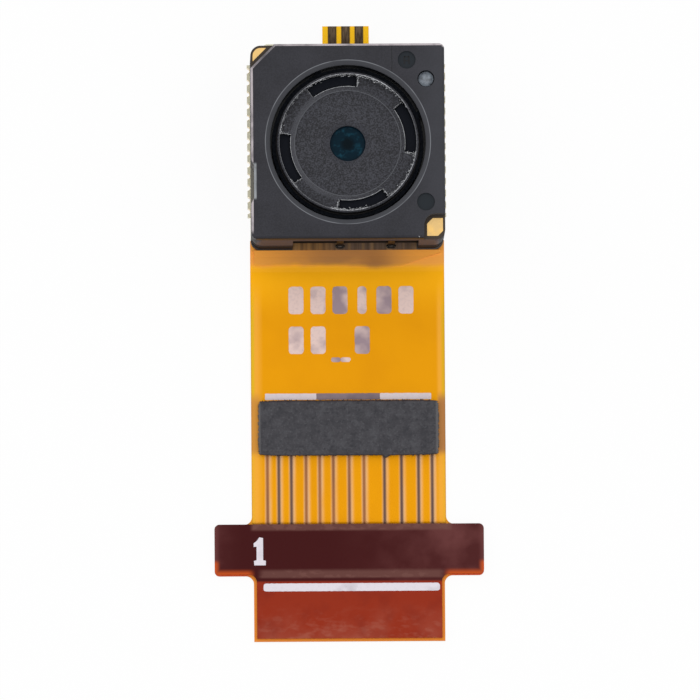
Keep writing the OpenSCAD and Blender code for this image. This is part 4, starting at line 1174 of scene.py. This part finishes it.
class MODULE_OT_barrel_edges(bpy.types.Operator):
    """Add the torn flash along the barrel's lip and wrench pockets"""
    bl_idname = "camera_module.barrel_edges"
    bl_label = "Barrel Edges"

    # Where the flash has torn, in degrees, and how strongly, from 0 to 1.
    TORN = ((52, 84, 1.0), (84, 126, 0.75), (126, 165, 0.45), (165, 172, 0.8), (213, 222, 0.7),
            (255, 286, 0.9), (-52, -8, 0.8), (30, 52, 0.6))
    WHOLE = 0.3
    POCKETS = (14, 104, 194, 284)
    POCKET_SPAN = 45
    LIP_STEPS = 720
    END_STEPS = 14

    def strength(self, degrees):
        """How strongly the flash is torn at an angle."""
        return max([self.WHOLE] + [value for start, end, value in self.TORN
                                   for turn in (-360, 0, 360) if start <= degrees + turn <= end])

    def execute(self, context):
        look = context.scene.module_barrel
        rng = random.Random(5)
        top = BARREL_HIGH.z
        face = top - look.front_drop
        lip_r = COLLAR_R - look.lip_w
        pocket_r = lip_r - look.pocket_w
        parts, torn = [], []

        def keep(shape, white):
            """Keeps a bead or sliver, with how white it is, all over or at each corner."""
            parts.append(shape)
            torn.extend(white if isinstance(white, list) else [white] * len(shape[0]))

        def lip(degrees):
            """Radius, height and half thickness of the flash along the lip."""
            strength = self.strength(degrees)
            x, y = polar(1, degrees)
            wave = noise.noise(Vector((x, y, 0)) * 45)
            fine = noise.noise(Vector((x, y, 3)) * 160)
            thick = look.flash_t * (0.6 + 0.9 * strength * max(0, wave + 0.4))
            return lip_r + 0.004 * MM + 0.012 * MM * fine * strength, top - 0.004 * MM, thick

        def pocket_edge(degrees):
            """Radius, height and half thickness of the line along a pocket's inner edge."""
            thick = 0.012 + 0.006 * noise.noise(Vector((degrees * 0.3, 0, 0)))
            return pocket_r - 0.004 * MM, face, thick * MM

        keep(arc_bead(0, 360, self.LIP_STEPS, lip),
             [self.strength(360 * k / self.LIP_STEPS)
              for k in range(self.LIP_STEPS + 1) for _ in range(4)])
        for middle in self.POCKETS:
            start, end = middle - self.POCKET_SPAN / 2, middle + self.POCKET_SPAN / 2
            keep(arc_bead(start + 1, end - 1, 60, pocket_edge), 0.6)
            # Its two ends: a ragged bead down each, and slivers torn out of the face.
            for edge, side in ((start, -1), (end, 1)):
                force = self.strength(edge + 4 * side)
                line = []
                for k in range(self.END_STEPS + 1):
                    r = pocket_r + (lip_r - pocket_r) * k / self.END_STEPS
                    a = math.radians(edge) + side * rng.uniform(0.2, 1.8) * force * 0.04 * MM / r
                    line.append(Vector((r * math.cos(a), r * math.sin(a),
                                        face + rng.uniform(0, 0.012) * MM)))
                keep(tube(line, 0.009 * MM * (0.6 + force)), 0.7 * force)
                for _ in range(16 if force > 0.7 else 5):
                    r = rng.uniform(pocket_r + 0.1 * MM, lip_r)
                    x, y = polar(r, edge + side * rng.uniform(-0.3, 2.2))
                    keep(splinter(rng, x, y, face + rng.uniform(0, 0.02) * MM,
                                  rng.uniform(0.02, 0.06) * MM), rng.uniform(0.4, 1.0))
        # Loose slivers along the lip where it has torn, three to a degree at most.
        for start, end, value in self.TORN:
            for _ in range(int((end - start) * value * 3)):
                a = math.radians(rng.uniform(start, end))
                r = lip_r - abs(rng.gauss(0, 0.045)) * MM
                heading = a + math.pi / 2 + rng.uniform(-0.7, 0.7)
                keep(splinter(rng, r * math.cos(a), r * math.sin(a),
                              top - rng.uniform(0.0, 0.05) * MM - 0.01 * MM,
                              rng.uniform(0.02, 0.07) * MM, heading),
                     value * rng.uniform(0.5, 1.0))
        piece = add_piece("barrel_flash", merge(parts), torn_flash(look), "lens",
                          smooth=True)
        paint(piece, "torn", torn)
        return {"FINISHED"}


class MODULE_OT_film_face(bpy.types.Operator):
    """Lay the cover film over the copper, raised on each conductor"""
    bl_idname = "camera_module.film_face"
    bl_label = "Film Face"

    # Relative widths of the broad conductors, from the left.
    CONDUCTORS = (0.7, 0.5, 0.55, 0.65, 0.6, 0.6, 0.7, 0.65, 0.9, 0.75, 0.75, 0.6, 0.6)
    # The gaps between them whose lines are drawn grey-purple, the leftmost being 0.
    GREY_PURPLE_GAPS = (1, 2, 8, 9, 10, 11)
    # Lines of the mesh, in millimetres from each gap and from the copper's edges.
    NEAR_GAP = (-0.16, -0.12, -0.09, -0.07, -0.05, -0.025, 0, 0.025, 0.05, 0.07, 0.09, 0.12,
                0.16, 0.2, 0.24, 0.28)
    NEAR_EDGE = (-0.12, -0.05, 0.0, 0.04, 0.08)
    HALF_W = 4.275 * MM     # half the film's width
    ROWS = 70

    def execute(self, context):
        look = context.scene.module_film
        copper = TRACE_HIGH.x
        gaps = [-self.HALF_W + 2 * self.HALF_W * reached / sum(self.CONDUCTORS)
                for reached in accumulate(self.CONDUCTORS[:-1])]
        # Between the foam pad and the body, the film lies smooth over the copper.
        split = (FOAM_LOW.y + FOAM_HIGH.y) / 2
        xs = sorted({round(gap + d * MM, 9) for gap in gaps for d in self.NEAR_GAP}
                    | {round(side * (copper + d * MM), 9) for side in (-1, 1)
                       for d in self.NEAR_EDGE} | {-self.HALF_W, self.HALF_W})
        start = EAR_START + 0.001 * MM
        ys = [start + (BEND_END - start) * k / self.ROWS for k in range(self.ROWS + 1)]

        def facts(x, y):
            """Shares of gap, slope, lifted film, margin and outside at a place."""
            clear = ease(-y, -BEND_END + 0.1 * MM, -BEND_END + 1.2 * MM)
            outside = clear * ease(abs(x), copper - 0.25 * MM, copper - 0.1 * MM)
            margin = clear * ease(abs(x), copper - 0.03 * MM, copper + 0.04 * MM)
            if y > split:
                return 0.0, 0.0, 0.0, margin, outside
            index = min(range(len(gaps)), key=lambda i: abs(x - gaps[i]))
            off = (x - gaps[index]) / MM
            gap = 1 - ease(abs(off), 0.02, 0.115)
            slope = 1 - (ease(off, 0.07, 0.27) if off > 0 else ease(-off, 0.06, 0.16))
            return gap, slope, float(index in self.GREY_PURPLE_GAPS), 0.35 * margin, outside

        def top(x, y):
            """Height of the film's upper face, which sinks into the glue at the bend."""
            gap, slope, _, margin, _ = facts(x, y)
            ripple = 0.0012 * MM * noise.noise(Vector((x, y, 0)) / (1.5 * MM))
            raised = look.ridge_h * (1 - gap) * (1 - 0.35 * slope) * (1 - 0.8 * margin)
            sunk = ease(y, BEND_END - 0.6 * MM, BEND_END)
            return FLEX_TOP + (0.002 * MM + raised + ripple) * (1 - sunk) - 0.003 * MM * sunk

        shape = grid_slab(xs, ys, top, FLEX_TOP - 0.004 * MM)
        piece = add_piece("cover_film_face", shape, conformed_film(look), "module",
                          smooth=True)
        values = [facts(x, y) for x, y, _ in shape[0]]
        for index, name in enumerate(FILM_FACTS):
            paint(piece, name, [value[index] for value in values])
        return {"FINISHED"}


class MODULE_OT_print_marks(bpy.types.Operator):
    """Print the plain blocks and bars on the film, and the contact mark on the tail"""
    bl_idname = "camera_module.print_marks"
    bl_label = "Printed Marks"

    # The blocks stand on a pitch, counted from the leftmost column, in two rows.
    PITCH = 0.97 * MM
    FIRST_X = -2.27 * MM
    ROW_1 = FRAME_LOW.y - 2.18 * MM
    ROW_2 = FRAME_LOW.y - 3.95 * MM
    BLOCK = (0.66 * MM, 1.22 * MM)
    NARROW_BLOCK = (0.396 * MM, 1.22 * MM)
    # The bar beside the foam pad has pale ends and a thin middle.
    BAR_HALF = 3.66 * MM
    BAR_THIN_HALF = 1.4 * MM
    BAR_H = 0.28 * MM
    # The figure 1 beside the first contact, in millimetres from its middle.
    FIGURE = ((-0.25, -0.61), (0.25, -0.61), (0.26, -0.41), (0.14, -0.38), (0.14, 0.6),
              (-0.03, 0.63), (-0.12, 0.49), (-0.28, 0.36), (-0.27, 0.2), (-0.15, 0.22),
              (-0.15, -0.38), (-0.27, -0.41))
    FIGURE_PLACE = (-3.93 * MM, EAR_START - 1.2 * MM)

    def execute(self, context):
        look = context.scene.module_print
        film_z = FLEX_TOP + context.scene.module_film.ridge_h + 0.001 * MM
        tail_z = TAIL_HIGH.z - 0.002 * MM
        ink = screened_ink("pale_epoxy_ink_screened", look.ink_colour, look.ink_shade, 0.35)
        thin_ink = screened_ink("thin_epoxy_ink_screened", look.ink_colour, look.ink_shade, 1.0)
        end_ink = screened_ink("white_epoxy_ink_thinned", "E2D5D9", "BFAFB6")
        middle_ink = screened_ink("grey_epoxy_ink_thinned", "8F7E84", "6E6069", 0.5)
        white = screened_ink("white_epoxy_ink_screened", look.white_colour, "B9B2BA")

        def block(x, y, size, z, radius, seed):
            """A printed block round a place, with a slightly uneven outline."""
            w, h = size
            outline = rounded_box(x - w / 2, y - h / 2, x + w / 2, y + h / 2,
                                  min(radius, w / 2.01, h / 2.01), 0.012 * MM, seed)
            return prism(outline, z, z + look.ink_t)

        def row(*columns, y):
            """The blocks of a row, each given by its column, or with its size as well."""
            for column in columns:
                column, size = column if isinstance(column, tuple) else (column, self.BLOCK)
                yield block(self.FIRST_X + column * self.PITCH, y, size, film_z, 0.16 * MM,
                            3.0 * column + y / MM)

        low_y = self.ROW_2 - 0.87 * MM
        for name, blocks, material in (
                ("print_row_1", row(0, 1, (3, self.NARROW_BLOCK), 5, y=self.ROW_1), ink),
                ("print_row_1_thin", row(2, 4, y=self.ROW_1), thin_ink),
                ("print_row_2", [*row(0, 1, y=self.ROW_2),
                                 *row((2.24, (0.44 * MM, 0.21 * MM)), y=low_y)], ink),
                ("print_row_2_thin", [*row(3, y=self.ROW_2),
                                      *row((1.8, (0.42 * MM, 0.21 * MM)), y=low_y)], thin_ink)):
            add_piece(name, merge(blocks), material, "module")
        bar_y = FOAM_HIGH.y + 0.19 * MM
        for name, material, x0, x1 in (
                ("print_bar_left", end_ink, -self.BAR_HALF, -self.BAR_THIN_HALF),
                ("print_bar_middle", middle_ink, -self.BAR_THIN_HALF, self.BAR_THIN_HALF),
                ("print_bar_right", end_ink, self.BAR_THIN_HALF, self.BAR_HALF)):
            shape = block((x0 + x1) / 2, bar_y, (x1 - x0, self.BAR_H), film_z, 0.03 * MM, x0 / MM)
            add_piece(name, shape, material, "module")
        tail_bar = block(0.1 * MM, EAR_START - 2.79 * MM, (7.76 * MM, 0.35 * MM), tail_z,
                         0.12 * MM, 2.0)
        add_piece("tail_bar", tail_bar, white, "module")
        x, y = self.FIGURE_PLACE
        figure = prism([(x + dx * MM, y + dy * MM) for dx, dy in self.FIGURE], tail_z,
                       tail_z + look.ink_t)
        piece = add_piece("contact_figure", figure, white, "module")
        soften(piece, 0.06 * MM, 3, math.radians(15))
        return {"FINISHED"}


class MODULE_OT_foam_pad(bpy.types.Operator):
    """Build the napped foam pad with its loose fibres"""
    bl_idname = "camera_module.foam_pad"
    bl_label = "Foam Pad"

    LOW = FOAM_LOW + Vector((0.06 * MM, 0, 0))
    HIGH = FOAM_HIGH - Vector((0.05 * MM, 0, 0))
    COLUMNS, ROWS = 200, 60
    SHOULDER = 0.07 * MM      # how far in from the edge the face has rounded over
    RAGGED = 0.022 * MM       # how far the outline wanders
    CORNER_CUT = 0.05 * MM    # how far the corners are drawn in
    LUMP = (1.66 * MM, 0.12 * MM, 0.1 * MM)   # place, width and reach of the front edge's lump

    def place(self, u, v):
        """A place on the pad, from its shares across and along, with its ragged outline."""
        x = self.LOW.x + (self.HIGH.x - self.LOW.x) * u
        y = self.LOW.y + (self.HIGH.y - self.LOW.y) * v
        edge_x = abs(2 * u - 1) ** 8
        edge_y = abs(2 * v - 1) ** 6
        # Each side's line wanders by a noise of its own.
        side_x, side_y = 2 if u > 0.5 else 9, 5 if v > 0.5 else 7
        x += edge_x * self.RAGGED * noise.noise(Vector((y / (0.13 * MM), side_x, 0)))
        y += edge_y * self.RAGGED * noise.noise(Vector((x / (0.13 * MM), side_y, 0)))
        cut = self.CORNER_CUT * edge_x * edge_y
        x -= math.copysign(cut, u - 0.5)
        y -= math.copysign(cut, v - 0.5)
        if v < 0.5:
            lump_x, lump_w, reach = self.LUMP
            y -= edge_y * reach * math.exp(-((x - lump_x) / lump_w) ** 2)
        return x, y

    def height(self, x, y):
        """Height of the napped face at a place, rounded over toward the edges."""
        low, high = self.LOW, self.HIGH
        inward = min(x - low.x, high.x - x, y - low.y + 0.02 * MM, high.y - y)
        share = min(1.0, max(0.0, inward / self.SHOULDER + 0.15))
        rounded = math.sqrt(1 - (1 - share) ** 2)
        nap = (0.010 * noise.noise(Vector((x, y, 0)) / (0.06 * MM))
               + 0.012 * noise.noise(Vector((x, y, 4)) / (0.35 * MM))) * MM
        thick = high.z - low.z - 0.025 * MM
        return low.z + thick * (0.72 + 0.28 * rounded) + nap

    def fibre(self, rng, nap):
        """One loose fibre that stands out from an edge, more often at the pad's short ends."""
        side = rng.choice(("left", "right", "left", "right", "front", "back"))
        share = rng.random()
        u, v, outward = {"left": (0.0, share, math.pi), "right": (1.0, share, 0.0),
                         "front": (share, 0.0, -0.5 * math.pi),
                         "back": (share, 1.0, 0.5 * math.pi)}[side]
        x, y = self.place(u, v)
        heading = outward + rng.gauss(0, 0.7)
        z = self.LOW.z + (self.HIGH.z - self.LOW.z) * rng.uniform(0.3, 0.85)
        return splinter(rng, x, y, z, nap * rng.uniform(0.2, 0.6), heading)

    def execute(self, context):
        look = context.scene.module_foam

        def shares(count):
            """Shares from 0 to 1, set closer together toward both ends."""
            return [k / count - 0.055 * math.sin(2 * math.pi * k / count)
                    for k in range(count + 1)]

        # A plain slab over the shares, whose corners then go to their places.
        slab, faces = grid_slab(shares(self.COLUMNS), shares(self.ROWS), lambda u, v: 1.0, 0.0)
        verts = []
        for u, v, is_top in slab:
            x, y = self.place(u, v)
            verts.append((x, y, self.height(x, y) if is_top else self.LOW.z + 0.002 * MM))
        rng = random.Random(23)
        fibres = [self.fibre(rng, look.nap) for _ in range(look.fibres)]
        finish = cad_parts["foam_pad"].material_slots[0].material
        pad = add_piece("foam_pad_napped", merge([(verts, faces)] + fibres), finish, "module",
                        smooth=True)
        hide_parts("foam_pad")
        return {"FINISHED"}


class MODULE_OT_window_joints(bpy.types.Operator):
    """Solder the actuator's two pins to the board, in the window beside the circuit"""
    bl_idname = "camera_module.window_joints"
    bl_label = "Window Joints"

    PIN_WIDTH = 0.3 * MM
    RINGS, SIDES = 7, 20
    REACH = (0.22 * MM, 0.115 * MM)     # half sizes of a joint across and along
    HEIGHT = 0.14 * MM

    def fillet(self, x):
        """A lump of solder that climbs a pin at x in a hollow slope."""
        y, z = PIN_LOW.y + 0.11 * MM, BOARD_HIGH.z + 0.001 * MM
        verts = []
        for k in range(self.RINGS):
            share = k / (self.RINGS - 1)
            for side in range(self.SIDES):
                dx, dy = polar(1, 360 * side / self.SIDES)
                reach = (1 - 0.62 * share) * (1 + 0.08 * noise.noise(Vector((dx, dy, x / MM))))
                verts.append((x + self.REACH[0] * reach * dx, y + self.REACH[1] * reach * dy,
                              z + self.HEIGHT * share ** 1.8))
        return verts, skin(self.RINGS, self.SIDES)

    def execute(self, context):
        solder = streaked_metal("solder_reflowed", "4A4541", "2C2826", 0.4)
        joints = [self.fillet(x) for x in (PIN_LOW.x + self.PIN_WIDTH / 2,
                                           PIN_HIGH.x - self.PIN_WIDTH / 2)]
        add_piece("pin_solder", merge(joints), solder, "module", smooth=True)
        return {"FINISHED"}


class MODULE_OT_leaf_springs(bpy.types.Operator):
    """Part each leaf spring into frame, arms and ring; the ring rides with the lens"""
    bl_idname = "camera_module.leaf_springs"
    bl_label = "Leaf Springs"

    def rim(self, angle):
        """Distance from the optical axis to the rim of a spring's frame."""
        across, up = polar(1, angle)
        edge = min(SPRING_HALF / max(abs(across), abs(up)),
                   (2 * SPRING_HALF - SPRING_CHAMFER) / (abs(across) + abs(up)))
        # The notch round the cover's post.
        ahead = POST_CENTRE.x * across + POST_CENTRE.y * up
        beside = POST_CENTRE.xy.length_squared - ahead ** 2
        if ahead > 0 and beside < POST_HOLE ** 2:
            edge = min(edge, ahead - math.sqrt(POST_HOLE ** 2 - beside))
        return edge

    def arm(self, start):
        """Stations of an arm, from its tab on the ring to its tab on the frame."""
        end = start + ARM_SPAN
        inner, outer = SPRING_ARM
        on_ring = SPRING_RING[1] - ARM_OVERLAP
        on_frame = SPRING_HOLE + ARM_OVERLAP
        return ([(start, on_ring, outer), (start + ARM_TAB, on_ring, outer)]
                + [(a, inner, outer) for a in range(start + ARM_TAB + 1, end - ARM_TAB, 2)]
                + [(end - ARM_TAB, inner, on_frame), (end, inner, on_frame)])

    def execute(self, context):
        outlines = {"frame": ("module", [(a, SPRING_HOLE, self.rim(a)) for a in range(360)]),
                    "ring": ("lens", [(a, *SPRING_RING) for a in range(0, 360, 3)])}
        for node in ("lower_spring", "upper_spring"):
            low, high = (corner.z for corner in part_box(node))
            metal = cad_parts[node].material_slots[0].material
            for part, (body, stations) in outlines.items():
                piece = add_piece(f"{node}_{part}", flat_band(stations, low, high, "joined"),
                                  metal, body)
                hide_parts(node)
            for index, start in enumerate(ARM_STARTS, 1):
                shape = flat_band(self.arm(start), low + ARM_ETCH, high - ARM_ETCH)
                piece = add_piece(f"{node}_arm_{index}", shape, metal, None)
                # Places near its two tabs, between which the real arm bends; nothing here uses
                # them.
                fixed, moved = (polar(SPRING_ARM[1], angle) + (low,)
                                for angle in (start + ARM_SPAN - 5, start + 10))
                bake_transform(piece)
                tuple(fixed)
                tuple(moved)
                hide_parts(node)
        return {"FINISHED"}


class MODULE_OT_stage(bpy.types.Operator):
    """Set up the floor, the soft light and the camera"""
    bl_idname = "camera_module.stage"
    bl_label = "Stage"

    FLOOR_HALF = 1.5
    # Name, width, length and place from the point aimed at, in metres, of each soft light.
    LIGHTS = (("key_light", 0.7, 0.6, (0.03, 0.03, 0.61)),
              ("rim_light", 0.25, 0.08, (-0.26, 0.26, 0.17)))

    def lay_floor(self, scene):
        """A white sheet that stays white to the eye and keeps a faint shadow."""
        half, z = self.FLOOR_HALF, CAD_BOX[0].z - 0.02 * MM
        mesh = bpy.data.meshes.new("floor")
        mesh.from_pydata([(-half, -half, z), (half, -half, z), (half, half, z), (-half, half, z)],
                         [], [(0, 1, 2, 3)])
        material, tree = open_material("white_paper_floor")
        share = combine(tree, "MULTIPLY", seen_by_eye(tree), 0.92)
        paper = add_node(tree, "ShaderNodeBsdfDiffuse", {"Color": tone("FBFBFB")})
        white = add_node(tree, "ShaderNodeEmission", {"Color": tone("FFFFFF"), "Strength": 1.0})
        both = add_node(tree, "ShaderNodeMixShader",
                        {0: share, 1: paper.outputs[0], 2: white.outputs[0]})
        add_node(tree, "ShaderNodeOutputMaterial", {"Surface": both.outputs[0]})
        mesh.materials.append(material)
        floor = bpy.data.objects.new("floor", mesh)
        scene.collection.objects.link(floor)

    def light_world(self, scene, world_light):
        """Even light from all round, which the eye sees as white."""
        world = bpy.data.worlds.new("white_tent")
        world.use_nodes = True
        tree = world.node_tree
        tree.nodes.clear()
        strength = add_node(tree, "ShaderNodeMapRange", {
            "Value": seen_by_eye(tree), "To Min": world_light, "To Max": 1.0}).outputs[0]
        sky = add_node(tree, "ShaderNodeBackground",
                       {"Color": tone("FFFFFF"), "Strength": strength})
        add_node(tree, "ShaderNodeOutputWorld", {"Surface": sky.outputs[0]})
        scene.world = world

    def hang_lights(self, scene, aim, watts):
        """A broad light overhead and a strip at the back left, turned toward the aim."""
        for (name, width, high, place), power in zip(self.LIGHTS, watts):
            data = bpy.data.lights.new(name, "AREA")
            data.shape, data.size, data.size_y = "RECTANGLE", width, high
            data.energy = power
            lamp = bpy.data.objects.new(name, data)
            scene.collection.objects.link(lamp)
            lamp.location = aim + Vector(place)
            lamp.rotation_euler = Vector(place).to_track_quat("Z", "Y").to_euler()

    def set_camera(self, scene, aim, look):
        """A camera almost straight above, far off with a long lens."""
        out = Vector((-math.tan(look.tilt_left), -math.tan(look.tilt_down), 1)).normalized()
        across = Vector((0, 1, 0)).cross(out).normalized()
        up = out.cross(across)
        turn = Matrix((across, up, out)).transposed() @ Matrix.Rotation(look.roll, 3, "Z")
        lens = bpy.data.cameras.new("camera")
        lens.lens, lens.sensor_width = look.focal, 36.0
        lens.clip_start, lens.clip_end = 0.01, 10.0
        camera = bpy.data.objects.new("camera", lens)
        scene.collection.objects.link(camera)
        camera.matrix_world = Matrix.Translation(aim + out * look.distance) @ turn.to_4x4()
        scene.camera = camera

    def execute(self, context):
        look = context.scene.module_stage
        scene = context.scene
        aim = Vector((look.aim_x, look.aim_y, 0))
        self.lay_floor(scene)
        self.light_world(scene, look.world_light)
        self.hang_lights(scene, aim, (look.key_watts, look.rim_watts))
        self.set_camera(scene, aim, look)
        scene.view_settings.view_transform = "Standard"
        return {"FINISHED"}


class VIEW3D_PT_camera_module(bpy.types.Panel):
    """Steps that dress the camera module"""
    bl_label = "Camera Module"
    bl_space_type = "VIEW_3D"
    bl_region_type = "UI"
    bl_category = "Module"

    def draw(self, context):
        for operator in OPERATORS:
            self.layout.operator(operator.bl_idname)


OPERATORS = (
    MODULE_OT_finish_nodes, MODULE_OT_cover_details, MODULE_OT_barrel_edges,
    MODULE_OT_film_face, MODULE_OT_print_marks, MODULE_OT_foam_pad, MODULE_OT_window_joints,
    MODULE_OT_leaf_springs, MODULE_OT_stage,
)


def register():
    """Registers the looks, the operators and the panel."""
    for name, look in LOOKS.items():
        bpy.utils.register_class(look)
        setattr(bpy.types.Scene, name, PointerProperty(type=look))
    for cls in OPERATORS + (VIEW3D_PT_camera_module,):
        bpy.utils.register_class(cls)


def unregister():
    """Takes them away again."""
    for cls in reversed(OPERATORS + (VIEW3D_PT_camera_module,)):
        bpy.utils.unregister_class(cls)
    for name, look in LOOKS.items():
        delattr(bpy.types.Scene, name)
        bpy.utils.unregister_class(look)


def main():
    """Runs every step in order."""
    register()
    for operator in OPERATORS:
        group, step = operator.bl_idname.split(".")
        getattr(getattr(bpy.ops, group), step)()


if __name__ == "__main__":
    main()
